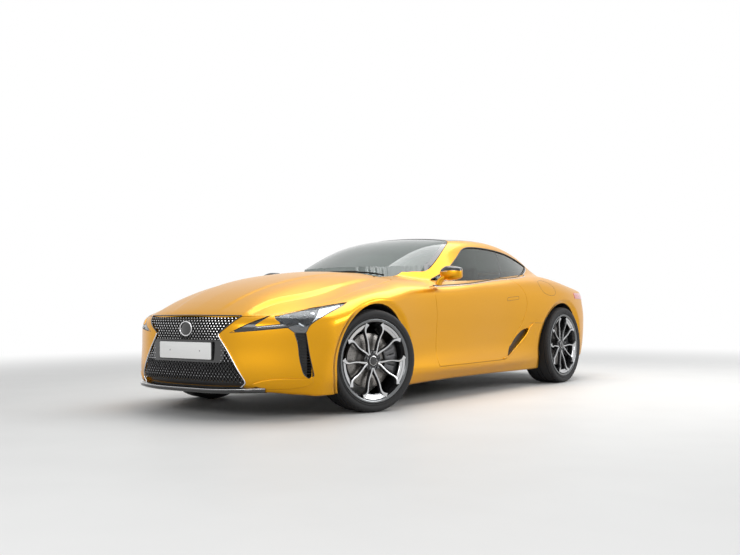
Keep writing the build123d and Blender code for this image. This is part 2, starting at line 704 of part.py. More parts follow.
rear_king_x = rear_track / 2 - kingpin_inset
knuckle_half = 25.0       # half thickness of a knuckle's upright
shaft_half = 20.0
with BuildPart() as rear_subframe:
    for end_y in (R - 260, R + 200):
        add(slab((-arm_x, arm_x), (end_y, end_y + 60), (floor_z, subframe_top)))
    add(slab((-130, 130), (R - 260, R + 260), (floor_z, 450)))
    for side in (1, -1):
        add(slab(sorted((side * (arm_x - 60), side * arm_x)), (R - 260, R + 260), (floor_z, subframe_top)))
        add(slab(sorted((side * (arm_x - 60), side * arm_x)), (R - 40, R + 40), (subframe_top, trunk_floor_z)))
        inner_face = rear_king_x - knuckle_half
        add(rod((side * 120, R, tyre_radius), (side * inner_face, R, tyre_radius), shaft_half))
        for turn in (1, -1):
            middle = tyre_radius + turn * 100
            add(slab(sorted((side * (arm_x - 30), side * inner_face)), (R - 26, R + 26), (middle - 13, middle + 13)))
save(rear_subframe, "rear_subframe")

pipe_radius = 25.0
pipe_z = floor_z - pipe_radius
muffler_y = (R + 490.0, R + 790.0)
with BuildPart() as exhaust:
    for x in (-90, 90):
        add(rod((x, firewall_y + 60, pipe_z), (x, muffler_y[0] + 10, pipe_z), pipe_radius))
    add(slab((-480, 480), muffler_y, (pipe_z - pipe_radius, 300)))
    for x in (-outlet_x, outlet_x):
        add(rod((x, muffler_y[1] - 10, 245), (x, tail_y - 10, 245), outlet_radius))
        add(rod((x, muffler_y[1] + 5, 245), (x, tail_y, 245), outlet_radius - 5), mode=Mode.SUBTRACT)
save(exhaust, "exhaust")

# ---------------------------------------------------------------- wheels, brakes and knuckles
disc_inner_u = 30.0       # the disc's inboard face, measured outboard from the kingpin
disc_outer_u = disc_inner_u + disc_thickness
face_depth = 28.0         # thickness of the spokes
face_setback = 19.0       # the spokes' face behind the flange


class Corner:
    """One corner's hub: its origin on the kingpin, and its outboard, rearward and upward directions."""

    def __init__(self, side, x, y, turn):
        angle = math.radians(turn)
        self.side = side
        self.origin = Vector(side * x, y, tyre_radius)
        self.out = Vector(side * math.cos(angle), side * math.sin(angle), 0)
        self.back = Vector(0, 0, side).cross(self.out)
        self.axis = Axis(self.origin, self.out)

    def profile_plane(self, lift=0.0):
        """The plane through the axis, whose x is outboard and whose y is the radius, turned up from the rear."""
        radial = self.back.rotate(Axis((0, 0, 0), self.out), lift * self.side)
        return Plane(origin=self.origin, x_dir=self.out, z_dir=self.out.cross(radial))

    def face_plane(self, u):
        """The plane across the axis at u, seen from outside, whose y is up."""
        x_dir = Vector(0, 0, 1).cross(self.out)
        return Plane(origin=self.origin + self.out * u, x_dir=x_dir, z_dir=self.out)

    def point(self, u, back=0.0, up=0.0):
        return self.origin + self.out * u + self.back * back + Vector(0, 0, up)


def revolved(corner, outline, lift=90.0, arc=360.0):
    """A (u, radius) outline turned round the corner's axis."""
    with BuildPart() as ring:
        with BuildSketch(corner.profile_plane(lift)):
            with BuildLine():
                Polyline(*outline, close=True)
            make_face()
        revolve(axis=corner.axis, revolution_arc=arc)
    return ring.part


def bead_half(width):
    """Half the width between the wheel's flanges for a tyre of this width."""
    return width / 2 - 12.5


def tyre_shape(corner, width):
    c, bead, half = kingpin_inset, bead_half(width), width / 2
    right = [(bead, seat_radius), (bead, lip_radius + 2), (bead + 7, lip_radius + 10), (half, lip_radius + 35),
             (half - 6, tyre_radius - 9), (half - 22, tyre_radius)]
    outline = [(c + u, r) for u, r in right] + [(c - u, r) for u, r in reversed(right)]
    return revolved(corner, outline)


def rim_shape(corner, width):
    c = kingpin_inset
    inner, outer = bead_half(width), bead_half(width) + flange
    low = seat_radius - barrel
    face = c + outer - face_setback
    bore = spindle_radius + running_clearance
    with BuildPart() as rim:
        add(revolved(corner, [
            (c - outer, low), (c - outer, lip_radius), (c - inner, lip_radius), (c - inner, seat_radius),
            (c + inner, seat_radius), (c + inner, lip_radius), (c + outer, lip_radius), (c + outer, low)]))
        add(revolved(corner, [
            (disc_outer_u, bore), (disc_outer_u, hub_radius), (face, hub_radius), (face, 0),
            (face - 12, 0), (face - 12, bore)]))
        with BuildSketch(corner.face_plane(face - face_depth)):
            for pair in range(spoke_pairs):
                middle = 270 + pair * 360 / spoke_pairs
                for turn in (-1, 1):
                    inner_angle = math.radians(middle + turn * 7)
                    outer_angle = math.radians(middle + turn * spoke_spread)
                    start = Vector(math.cos(inner_angle), math.sin(inner_angle)) * (hub_radius - 14)
                    end = Vector(math.cos(outer_angle), math.sin(outer_angle)) * (low + 4)
                    across = (end - start).normalized().rotate(Axis.Z, 90)
                    with BuildLine():
                        Polyline(
                            tuple(start + across * 11), tuple(end + across * 15),
                            tuple(end - across * 15), tuple(start - across * 11), close=True)
                    make_face()
        extrude(amount=face_depth)
    return rim.part


def disc_shape(corner):
    bore = spindle_radius + running_clearance
    return revolved(corner, [
        (disc_inner_u, bore), (disc_inner_u, disc_radius), (disc_outer_u, disc_radius), (disc_outer_u, bore)])


def knuckle_shape(corner, width, pins):
    """An upright with its spindle, caliper and, on a steered wheel, its two kingpins."""
    face = kingpin_inset + bead_half(width) + flange - face_setback
    with BuildPart() as knuckle:
        with BuildSketch(corner.face_plane(-knuckle_half)):
            Rectangle(60, 2 * upright_half)
        extrude(amount=2 * knuckle_half)
        add(rod(tuple(corner.point(0)), tuple(corner.point(face - 14)), spindle_radius))
        if pins:
            reach = upright_half + clearance + 2 * arm_half
            add(rod(tuple(corner.point(0, 0, -reach)), tuple(corner.point(0, 0, reach)), kingpin_radius))
        inner, outer, gap = disc_inner_u - 18, disc_outer_u + 18, 5
        add(revolved(corner, [
            (inner, 120), (inner, 232), (outer, 232), (outer, 120), (disc_outer_u + gap, 120),
            (disc_outer_u + gap, disc_radius + gap), (disc_inner_u - gap, disc_radius + gap),
            (disc_inner_u - gap, 120)], -30, 60))
        with BuildSketch(corner.face_plane(inner - 4)):
            with Locations((corner.side * 80, 0)):
                Rectangle(130, 56)
        extrude(amount=disc_inner_u - gap - inner + 1)
    return knuckle.part


corners = {
    "front_left": (1, king_x, F, steer_rest, front_tyre_width),
    "front_right": (-1, king_x, F, steer_rest, front_tyre_width),
    "rear_left": (1, rear_king_x, R, 0, rear_tyre_width),
    "rear_right": (-1, rear_king_x, R, 0, rear_tyre_width),
}
for name, (side, x, y, turn, width) in corners.items():
    corner = Corner(1, x, y, side * turn)
    steered = y == F
    shapes = {
        "tyre": tyre_shape(corner, width),
        "wheel": rim_shape(corner, width),
        "disc": disc_shape(corner),
        "knuckle": knuckle_shape(corner, width, steered),
    }
    for label, shape in shapes.items():
        with BuildPart() as piece:
            add(shape if side > 0 else mirrored(shape))
        save(piece, f"{label}_{name}")
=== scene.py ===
"""Looks for the two-door coupe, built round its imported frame.

The outer skin is one smooth surface, W = 0, made of a lower body and a glasshouse. Each panel is a net of
rays that end on that surface, clipped to the panel's outline, with rolled edges and an inner face.
Metres: +Z is up, the nose points to -Y, and +X is the car's left side.
"""

import json
import math

import bmesh
import bpy
import numpy as np
from mathutils import Matrix, Vector


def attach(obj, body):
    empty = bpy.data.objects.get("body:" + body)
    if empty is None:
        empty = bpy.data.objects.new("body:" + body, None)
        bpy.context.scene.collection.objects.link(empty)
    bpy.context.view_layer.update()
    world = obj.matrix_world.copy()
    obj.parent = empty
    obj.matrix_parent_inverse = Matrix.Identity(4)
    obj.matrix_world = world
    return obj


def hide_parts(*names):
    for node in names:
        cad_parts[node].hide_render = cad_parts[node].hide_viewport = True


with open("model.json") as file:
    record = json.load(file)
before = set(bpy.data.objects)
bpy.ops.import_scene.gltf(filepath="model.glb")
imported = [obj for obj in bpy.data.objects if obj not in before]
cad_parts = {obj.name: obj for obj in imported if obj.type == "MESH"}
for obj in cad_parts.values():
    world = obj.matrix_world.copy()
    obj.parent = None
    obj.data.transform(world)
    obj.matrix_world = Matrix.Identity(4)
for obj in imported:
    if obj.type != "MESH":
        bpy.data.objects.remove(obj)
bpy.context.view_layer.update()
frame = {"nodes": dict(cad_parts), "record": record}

FRONT_Y, REAR_Y = -1.45, 1.42
WHEEL_Z = 0.355
ARCH_R = 0.397         # the edge of a wheel opening
ARCH_CREST = 0.437     # where the side starts to turn in towards it
GAP = 0.003            # half of a shut line
NOSE_Y = -1.6          # the upright line on the car's middle that the front's rays fan out from
CORNER_X, CORNER_R = 0.3, 0.7        # the upright line and the radius that the front corner is unrolled with
SIDES = (("left", 1), ("right", -1))


# ---------------------------------------------------------------- smooth tables
def natural(knots, values, at):
    """Natural cubic spline through rows of values; it is held level outside the knots."""
    k, v = np.asarray(knots, float), np.asarray(values, float)
    n, h = len(k), np.diff(k)
    a, rhs = np.eye(n), np.zeros(v.shape)
    for i in range(1, n - 1):
        a[i, i - 1], a[i, i], a[i, i + 1] = h[i - 1], 2 * (h[i - 1] + h[i]), h[i]
        rhs[i] = 6 * ((v[i + 1] - v[i]) / h[i] - (v[i] - v[i - 1]) / h[i - 1])
    m = np.linalg.solve(a, rhs)
    at = np.clip(np.asarray(at, float), k[0], k[-1])
    i = np.clip(np.searchsorted(k, at) - 1, 0, n - 2)
    shape = (-1,) + (1,) * (v.ndim - 1)
    t, s, w = (at - k[i]).reshape(shape), (k[i + 1] - at).reshape(shape), h[i].reshape(shape)
    bend = (m[i] * s ** 3 + m[i + 1] * t ** 3) / (6 * w)
    return bend + (v[i] / w - m[i] * w / 6) * s + (v[i + 1] / w - m[i + 1] * w / 6) * t


def blurred(grid, spread, axis):
    """A grid smoothed along one axis, with its edge values held."""
    reach = int(3 * spread) + 1
    weight = np.exp(-0.5 * (np.arange(-reach, reach + 1) / spread) ** 2)
    weight /= weight.sum()
    pad = [(0, 0), (0, 0)]
    pad[axis] = (reach, reach)
    wide = np.pad(grid, pad, mode="edge")
    count = grid.shape[axis]
    return sum(w * np.take(wide, range(j, j + count), axis) for j, w in enumerate(weight))


class Table:
    """A value that varies smoothly over two coordinates, looked up on a 10 mm grid; it is given in millimetres."""

    step = 0.01

    def __init__(self, b_knots, table, blur=(4.0, 1.5)):
        table, b_knots = np.array(table) / 1000, np.array(b_knots) / 1000
        a_knots, rows = table[:, 0], table[:, 1:]
        a = np.arange(a_knots[0], a_knots[-1] + self.step, self.step)
        b = np.arange(b_knots[0], b_knots[-1] + self.step, self.step)
        fine = natural(b_knots, rows.T, b).T
        grid = natural(a_knots, fine, a)
        self.grid = blurred(blurred(grid, blur[0], 0), blur[1], 1)
        self.start = (a_knots[0], b_knots[0])

    def __call__(self, a, b):
        i = np.clip((a - self.start[0]) / self.step, 0, self.grid.shape[0] - 1.001)
        j = np.clip((b - self.start[1]) / self.step, 0, self.grid.shape[1] - 1.001)
        i0, j0 = i.astype(int), j.astype(int)
        p, q, g = i - i0, j - j0, self.grid
        low = g[i0, j0] * (1 - p) + g[i0 + 1, j0] * p
        high = g[i0, j0 + 1] * (1 - p) + g[i0 + 1, j0 + 1] * p
        return low * (1 - q) + high * q


class Line:
    """A value that varies smoothly over one coordinate; it is given in millimetres."""

    def __init__(self, knots, values, blur=3.0):
        knots, values = np.array(knots) / 1000, np.array(values) / 1000
        self.at = np.arange(knots[0], knots[-1] + 0.01, 0.01)
        fine = natural(knots, values, self.at)
        self.values = blurred(fine.reshape(-1, 1), blur, 0).ravel()

    def __call__(self, a):
        return np.interp(a, self.at, self.values)


def smooth_max(a, b, k):
    h = np.maximum(k - np.abs(a - b), 0) / k
    return np.maximum(a, b) + h * h * k / 4


def smooth_min(a, b, k):
    return -smooth_max(-a, -b, k)


def columns(*parts):
    """Rows of points, from one column or one number for each coordinate."""
    return np.stack(np.broadcast_arrays(*parts), -1)


def unit(ways):
    return ways / np.maximum(np.linalg.norm(ways, axis=-1, keepdims=True), 1e-9)


def around(count, closed=False):
    """Angles round a circle; a closed row ends where it began."""
    return np.linspace(0, 2 * math.pi, count, endpoint=closed)


def ramp(value, low, high):
    t = np.clip((value - low) / (high - low), 0, 1)
    return t * t * (3 - 2 * t)


# ---------------------------------------------------------------- the lower body
TOP_X = [0, 200, 350, 450, 550, 700, 800, 880, 960]
TOP = [  # y, then the height of the upper surface at each x
    (-2500, 620, 615, 600, 585, 565, 520, 480, 440, 400),
    (-2300, 712, 705, 690, 675, 655, 610, 570, 530, 490),
    (-2100, 808, 800, 785, 766, 738, 692, 655, 615, 570),
    (-1900, 878, 872, 857, 836, 802, 752, 722, 690, 650),
    (-1700, 928, 922, 906, 882, 845, 796, 776, 750, 710),
    (-1500, 963, 957, 942, 917, 884, 845, 832, 810, 770),
    (-1300, 987, 981, 966, 944, 914, 885, 872, 842, 790),
    (-1100, 1003, 997, 984, 965, 942, 919, 896, 855, 795),
    (-900, 1005, 1000, 992, 978, 962, 940, 907, 860, 800),
    (-550, 995, 990, 982, 973, 962, 935, 902, 858, 800),
    (0, 990, 985, 978, 972, 965, 952, 930, 888, 825),
    (300, 990, 985, 978, 975, 970, 962, 945, 905, 845),
    (600, 1000, 995, 990, 988, 985, 982, 966, 926, 865),
    (900, 1020, 1018, 1015, 1012, 1008, 1003, 985, 945, 890),
    (1200, 1035, 1034, 1032, 1030, 1026, 1015, 990, 945, 890),
    (1500, 1030, 1028, 1025, 1020, 1012, 995, 967, 925, 870),
    (1850, 1000, 998, 992, 982, 970, 940, 910, 870, 820),
    (2080, 978, 975, 967, 956, 938, 902, 869, 830, 780),
    (2220, 966, 963, 954, 941, 920, 875, 838, 800, 750),
    (2500, 940, 937, 928, 913, 885, 835, 790, 750, 700),
]
SIDE_Z = [120, 200, 250, 320, 420, 520, 600, 680, 750, 800, 850, 900, 1000]
SIDE = [  # y, then the half width at each height
    (-2300, 780, 800, 810, 820, 830, 840, 840, 835, 820, 800, 770, 740, 670),
    (-2000, 840, 860, 875, 885, 895, 905, 905, 900, 885, 865, 840, 810, 750),
    (-1800, 855, 882, 900, 910, 918, 926, 930, 930, 918, 898, 870, 840, 780),
    (-1450, 860, 888, 905, 912, 920, 936, 946, 949, 945, 935, 910, 870, 800),
    (-1000, 850, 885, 905, 893, 884, 895, 904, 909, 908, 904, 890, 865, 810),
    (-600, 840, 880, 914, 894, 874, 878, 886, 892, 893, 892, 884, 865, 820),
    (0, 830, 878, 915, 890, 868, 876, 885, 891, 893, 892, 886, 872, 830),
    (450, 830, 878, 912, 890, 870, 880, 890, 897, 900, 900, 896, 882, 840),
    (900, 855, 882, 900, 903, 908, 917, 925, 931, 932, 929, 920, 903, 860),
    (1420, 870, 898, 912, 922, 932, 945, 953, 957, 956, 950, 938, 916, 870),
    (1800, 850, 878, 893, 903, 912, 921, 926, 926, 921, 913, 899, 878, 830),
    (2050, 800, 828, 844, 855, 865, 872, 875, 874, 868, 858, 842, 820, 770),
    (2400, 680, 712, 730, 742, 755, 765, 768, 766, 760, 750, 734, 710, 660),
]
top_z = Table(TOP_X, TOP)
side_x = Table(SIDE_Z, SIDE, blur=(6.0, 0.9))
nose_plan = Line([0, 150, 300, 450, 550, 650, 750, 800, 900, 1000],
                 [-2380, -2379, -2372, -2345, -2300, -2238, -2155, -2105, -1975, -1800])
nose_lean = Line([100, 160, 220, 450, 580, 640, 690, 740, 800, 900, 1100],
                 [60, 30, 4, -2, 0, 10, 34, 75, 150, 300, 600], 1.5)
tail_plan = Line([0, 250, 500, 750, 850, 930, 1000],
                 [2378, 2368, 2325, 2205, 2080, 1920, 1720])
tail_lean = Line([100, 200, 300, 420, 520, 640, 700, 760, 840, 900, 950, 1100],
                 [120, 80, 40, 10, 0, 0, 14, 34, 40, 26, 6, -20], 1.2)
floor_line = Line([-2600, -2200, -1950, -1800, -1100, -800, 200, 950, 1100, 1850, 2050, 2600],
                  [180, 172, 142, 138, 145, 152, 155, 150, 150, 200, 235, 260])


def arch_dip(y, z):
    """How far the side turns in towards a wheel opening's edge."""
    dip = 0
    for wheel_y, flare in ((FRONT_Y, 0.055), (REAR_Y, 0.05)):
        r = np.hypot((y - wheel_y) * (1 - flare), z - WHEEL_Z)
        dip = dip + 0.026 * ramp(ARCH_CREST - r, 0.0, 0.05)
    return dip


hood_fold = Line([-2450, -2295, -2092, -1916, -1638, -1284, -900],
                 [430, 443, 462, 526, 554, 539, 520])
centre_fold = Line([-2450, -2200, -1900, -1500, -1100, -900], [200, 225, 262, 300, 325, 335])


def hood_relief(x, y):
    """The raised middle of the hood, which falls off outside two folds."""
    along = ramp(y, -2.36, -2.18) * (1 - ramp(y, -1.22, -1.0))
    outer = 0.011 * (1 - ramp(x - hood_fold(y), 0.0, 0.06))
    return along * (outer + 0.005 * (1 - ramp(x - centre_fold(y), 0.0, 0.045)) - 0.006)


def body(p):
    x, y, z = np.abs(p[..., 0]), p[..., 1], p[..., 2]
    side = x - side_x(y, z) + arch_dip(y, z)
    shoulder = 0.03 + 0.03 * ramp(-y, 1.0, 1.5) + 0.02 * ramp(y, 1.0, 1.5)
    f = smooth_max(side, z - top_z(y, x) - hood_relief(x, y), shoulder)
    f = smooth_max(f, nose_plan(x) + nose_lean(z) - y, 0.05)
    f = smooth_max(f, y - tail_plan(x) + tail_lean(z), 0.05)
    return smooth_max(f, floor_line(y) - z, 0.02)


# ---------------------------------------------------------------- the glasshouse
crown = Line([-1100, -884, -640, -380, -120, 140, 400, 660, 920, 1180, 1440, 1700, 1900, 2100],
             [870, 997, 1125, 1240, 1306, 1334, 1346, 1345, 1330, 1296, 1235, 1138, 1035, 900])
RAIL_Y = [-1100, -640, -380, -120, 140, 400, 660, 920, 1180, 1440, 1700, 1900, 2100]
rail_x = Line(RAIL_Y, [600, 600, 590, 577, 565, 557, 550, 541, 526, 505, 470, 440, 400])
rail_z = Line(RAIL_Y, [800, 1020, 1135, 1237, 1288, 1303, 1302, 1285, 1246, 1180, 1090, 995, 860])


def house(p):
    x, y, z = np.abs(p[..., 0]), p[..., 1], p[..., 2]
    rx, rz, centre = rail_x(y), rail_z(y), crown(y)
    side = (x - rx) * 0.83 + (z - rz) * 0.56 + 0.02
    top = z - centre + (centre - rz) * (x / rx) ** 2.3
    top = top / np.sqrt(1 + 0.25 * ramp(np.abs(y - 0.4), 0.3, 1.3))
    return np.maximum(smooth_max(side, top, 0.07), np.maximum(0.84 - z, y - 2.02))


def whole(p):
    """The outside of the car: negative inside."""
    y = p[..., 1]
    fillet = 0.012 + 0.11 * ramp(y, 0.95, 1.7) + 0.03 * ramp(-y, 0.55, 0.9)
    return smooth_min(body(p), house(p), fillet)


def normals(field, p, step=0.01):
    n = np.zeros_like(p)
    for axis in range(3):
        d = np.zeros(3)
        d[axis] = step
        n[:, axis] = field(p + d) - field(p - d)
    centre = np.abs(p[:, 0]) < 1e-5
    n[centre, 0] = 0
    return unit(n)


# ---------------------------------------------------------------- nets of rays and clipping
def cast(field, start, way, reach=1.6):
    """Where rays from inside first leave a surface."""
    low = np.zeros(len(start))
    high = np.full(len(start), reach)
    for _ in range(20):
        mid = (low + high) / 2
        inside = field(start + way * mid[:, None]) < 0
        low, high = np.where(inside, mid, low), np.where(inside, high, mid)
    return start + way * ((low + high) / 2)[:, None]


def grid_faces(rows, columns):
    """The quads of a grid of vertices."""
    return [(a, a + columns, a + columns + 1, a + 1)
            for i in range(rows - 1) for a in range(i * columns, i * columns + columns - 1)]


def net(field, one, two, start, way, reach=1.6):
    """Vertices and quads of a grid of rays. Start and way say where a ray begins and where it goes."""
    u, v = np.meshgrid(one, two, indexing="ij")
    starts, ways = (columns(*of(u, v)).reshape(-1, 3) for of in (start, way))
    return cast(field, starts, unit(ways), reach), grid_faces(len(one), len(two))


def spaced(low, high, step):
    return np.linspace(low, high, int((high - low) / step) + 2)


def turned(low, high, radius, step):
    """Angles between two, in degrees, that a ray of this length ends a step apart at."""
    return np.radians(np.linspace(low, high, int(math.radians(high - low) * radius / step) + 2))


def side_fan(field, y_from, y_to, low, high, step=0.016):
    """Rays from a line along the car, fanned in the cross plane between two angles above level."""
    return net(field, spaced(y_from, y_to, step), turned(low, high, 0.62, step),
               lambda y, a: (0.3, y, 0.5), lambda y, a: (np.cos(a), 0, np.sin(a)), 1.2)


def nose_fan(field, centre_y, low, high, z_from, z_to, sign=-1, step=0.016):
    """Level rays from an upright line, fanned from straight ahead, or straight back, out to the side."""
    return net(field, turned(low, high, 0.9, step), spaced(z_from, z_to, step),
               lambda a, z: (0, centre_y, z), lambda a, z: (np.sin(a), sign * np.cos(a), 0))


def top_fan(field, x_to, y_from, y_to, step=0.018):
    """Upright rays over the near half of the car, from the centre line out."""
    return net(field, spaced(0, x_to, step), spaced(y_from, y_to, step),
               lambda x, y: (x, y, 0.45), lambda x, y: (0 * x, 0, 1), 1.2)


def rear_fan(field, x_to, low, high, step=0.016):
    """Rays over the near half, fanned in planes along the car from level and backwards to upright."""
    return net(field, spaced(0, x_to, step), turned(low, high, 0.45, step),
               lambda x, a: (x, 1.9, 0.6), lambda x, a: (0, np.cos(a), np.sin(a)))


def clip(mesh, values):
    """The part of a mesh where the value at its vertices is negative, cut where it passes zero."""
    verts, faces = mesh
    added, made, kept = [], {}, []
    inside = values < 0

    def crossing(a, b):
        key = (a, b) if a < b else (b, a)
        if key not in made:
            i, j = key
            t = values[i] / (values[i] - values[j])
            made[key] = len(verts) + len(added)
            added.append(verts[i] + (verts[j] - verts[i]) * t)
        return made[key]

    for face in faces:
        count = sum(inside[i] for i in face)
        if count == len(face):
            kept.append(face)
        elif count:
            ring = []
            for a, b in zip(face, face[1:] + face[:1]):
                if inside[a]:
                    ring.append(a)
                if inside[a] != inside[b]:
                    ring.append(crossing(a, b))
            if len(ring) > 2:
                kept.append(tuple(ring))
    if added:
        verts = np.vstack([verts, np.array(added)])
    return compact(verts, kept)


def compact(verts, faces):
    used = sorted({i for face in faces for i in face})
    order = {old: new for new, old in enumerate(used)}
    return verts[used], [tuple(order[i] for i in face) for face in faces]


def joined(meshes):
    verts, faces, shift = [], [], 0
    for v, f in meshes:
        verts.append(v)
        faces += [tuple(i + shift for i in face) for face in f]
        shift += len(v)
    return np.vstack(verts), faces


def both_sides(mesh):
    """A mesh of the +X half with its mirror image, welded along the centre plane."""
    verts, faces = mesh
    other = verts * np.array([-1.0, 1, 1])
    centre = np.abs(verts[:, 0]) < 1e-5
    place = np.where(centre, np.arange(len(verts)), np.arange(len(verts)) + len(verts))
    flipped = [tuple(int(place[i]) for i in reversed(face)) for face in faces]
    return compact(np.vstack([verts, other]), faces + flipped)


def rounded(points, default):
    """A closed outline with its corners eased; each point is (a, b) or (a, b, easing)."""
    out, n = [], len(points)
    for i in range(n):
        p = np.array(points[i][:2], float)
        before, after = np.array(points[i - 1][:2], float), np.array(points[(i + 1) % n][:2], float)
        ease = points[i][2] if len(points[i]) > 2 else default
        one, two = before - p, after - p
        la, lb = np.linalg.norm(one), np.linalg.norm(two)
        ra, rb = min(ease, la * 0.48), min(ease, lb * 0.48)
        start, end = p + one / la * ra, p + two / lb * rb
        if ease < 1e-4:
            out.append(p)
            continue
        for t in np.linspace(0, 1, 7):
            out.append(start * (1 - t) ** 2 + 2 * p * t * (1 - t) + end * t * t)
    return np.array(out)


def outline_mm(points, default=30):
    """The same from millimetres."""
    return rounded([[v / 1000 for v in point] for point in points], default / 1000)


def distance(points, outline):
    """Signed distance of 2-D points to a closed outline: negative inside."""
    a, b = outline, np.roll(outline, -1, 0)
    keep = np.linalg.norm(b - a, axis=1) > 1e-9
    a, b = a[keep], b[keep]
    d = b - a
    best = np.full(len(points), 1e9)
    odd = np.zeros(len(points), bool)
    for p0, p1, way in zip(a, b, d):
        rel = points - p0
        t = np.clip(rel @ way / (way @ way), 0, 1)
        best = np.minimum(best, np.linalg.norm(rel - t[:, None] * way, axis=1))
        crosses = (p0[1] > points[:, 1]) != (p1[1] > points[:, 1])
        if p1[1] != p0[1]:
            odd ^= crosses & (points[:, 0] < (p1[0] - p0[0]) * (points[:, 1] - p0[1]) / (p1[1] - p0[1]) + p0[0])
    return np.where(odd, -best, best)


SEEN = {"side": (1, 2), "top": (0, 1), "front": (0, 2)}


def inside(mesh, view, outline, grow=0.0):
    """Keeps what lies inside an outline seen from the side, the top or the front."""
    return clip(mesh, distance(mesh[0][:, SEEN[view]], outline) - grow)


def outside(mesh, view, outline, grow=0.0):
    return clip(mesh, grow - distance(mesh[0][:, SEEN[view]], outline))


def beyond(mesh, line):
    """Keeps what lies where a function of x, y and z is negative."""
    return clip(mesh, line(*mesh[0].T))


# ---------------------------------------------------------------- meshes and panels
def mesh_object(name, verts, faces, smooth=True, normal=None, slots=None, materials=()):
    data = bpy.data.meshes.new(name)
    data.from_pydata([tuple(v) for v in verts], [], [tuple(f) for f in faces])
    for material in materials:
        data.materials.append(material)
    if slots is not None:
        data.polygons.foreach_set("material_index", np.asarray(slots, np.int32))
    if smooth:
        data.polygons.foreach_set("use_smooth", np.ones(len(data.polygons), bool))
    data.update()
    if normal is not None:
        data.normals_split_custom_set_from_vertices([tuple(n) for n in normal])
    obj = bpy.data.objects.new(name, data)
    bpy.context.scene.collection.objects.link(obj)
    return obj


def boundary(faces):
    """Directed edges that only one face uses."""
    seen = {edge: True for face in faces for edge in zip(face, face[1:] + face[:1])}
    return [(a, b) for a, b in seen if (b, a) not in seen]


def seated(obj, rides, slot, replaces):
    """Attaches a finished piece to what it rides on and hides the nodes that it stands in for; its slot is looked up
    but not kept.
    """
    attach(obj, rides)
    slot = slot or USUAL_SLOT.get(obj.data.materials[0].name)
    if replaces:
        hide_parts(*([replaces] if isinstance(replaces, str) else replaces))
    return obj


def panel(name, mesh, field, material, rides="body_shell", depth=0.012, lift=0.0, roll=0.002, inner=None,
          inner_way=None, symmetric=True, slot=None, replaces=()):
    """A panel on a surface: outer face, rolled edge and inner face. Symmetric adds the other half."""
    if symmetric:
        mesh = both_sides(mesh)
    verts, faces = mesh
    faces = [tuple(reversed(f)) for f in faces] if facing_in(verts, faces, field) else faces
    n = normals(field, verts)
    verts = verts + n * lift
    edges = boundary(faces)
    out = np.zeros_like(verts)
    for a, b in edges:
        out[a] += np.cross(verts[b] - verts[a], n[a])
        out[b] += np.cross(verts[b] - verts[a], n[b])
    rim = sorted({i for edge in edges for i in edge})
    order = {v: k for k, v in enumerate(rim)}
    o, rn, rv = unit(out[rim]), n[rim], verts[rim]
    back = -rn if inner_way is None else np.tile(np.array(inner_way, float), (len(rim), 1))
    half = math.sqrt(0.5)
    rings = [
        (rv + o * roll * half - rn * roll * (1 - half), (rn + o) * half),
        (rv + o * roll - rn * roll, o),
        (rv + o * roll + back * depth, o),
    ]
    count = len(verts)
    all_verts, all_normals = [verts] + [ring for ring, _ in rings], [n] + [way for _, way in rings]
    all_faces, slots = list(faces), [0] * len(faces)

    def index(level, v):
        return v if level == 0 else count + (level - 1) * len(rim) + order[v]

    for level in range(len(rings)):
        for a, b in edges:
            all_faces.append((index(level, b), index(level, a), index(level + 1, a), index(level + 1, b)))
            slots.append(0)
    # the inner face shares the last ring's places
    back_all = -n if inner_way is None else np.tile(np.array(inner_way, float), (count, 1))
    inner_verts = verts + back_all * depth
    inner_verts[rim] = rings[-1][0]
    base = count + len(rings) * len(rim)
    all_verts.append(inner_verts)
    all_normals.append(-n)
    all_faces += [tuple(base + i for i in reversed(face)) for face in faces]
    slots += [1 if inner else 0] * len(faces)
    obj = mesh_object(name, np.vstack(all_verts), all_faces, True, np.vstack(all_normals), slots,
                      [material] + ([inner] if inner else []))
    return seated(obj, rides, slot, replaces)


def facing_in(verts, faces, field):
    """Whether the faces, taken together, look into the surface."""
    a, b, c = (verts[[face[k] for face in faces[::3]]] for k in range(3))
    return float((np.cross(b - a, c - a) * normals(field, (a + b + c) / 3)).sum()) < 0


def flipped(mesh):
    """The same mesh on the other side of the car."""
    return mesh[0] * np.array([-1.0, 1, 1]), [tuple(reversed(face)) for face in mesh[1]]


def corner_view(points):
    """Unrolls the front corner: distance round an upright line, and height."""
    angle = np.arctan2(np.abs(points[:, 0]) - CORNER_X, NOSE_Y - points[:, 1])
    return columns(CORNER_R * angle, points[:, 2])


def inside_corner(mesh, outline, grow=0.0):
    return clip(mesh, distance(corner_view(mesh[0]), outline) - grow)


def outside_corner(mesh, outline, grow=0.0):
    return clip(mesh, grow - distance(corner_view(mesh[0]), outline))


def outside_arch(mesh, wheel_y):
    flat = mesh[0][:, 1:] - np.array([wheel_y, WHEEL_Z])
    return clip(mesh, ARCH_R - np.linalg.norm(flat, axis=1))


# ---------------------------------------------------------------- materials
def node(tree, kind, values=()):
    """A new shader node, with values for some of its inputs."""
    made = tree.nodes.new("ShaderNode" + kind)
    for name, value in dict(values).items():
        made.inputs[name].default_value = value
    return made


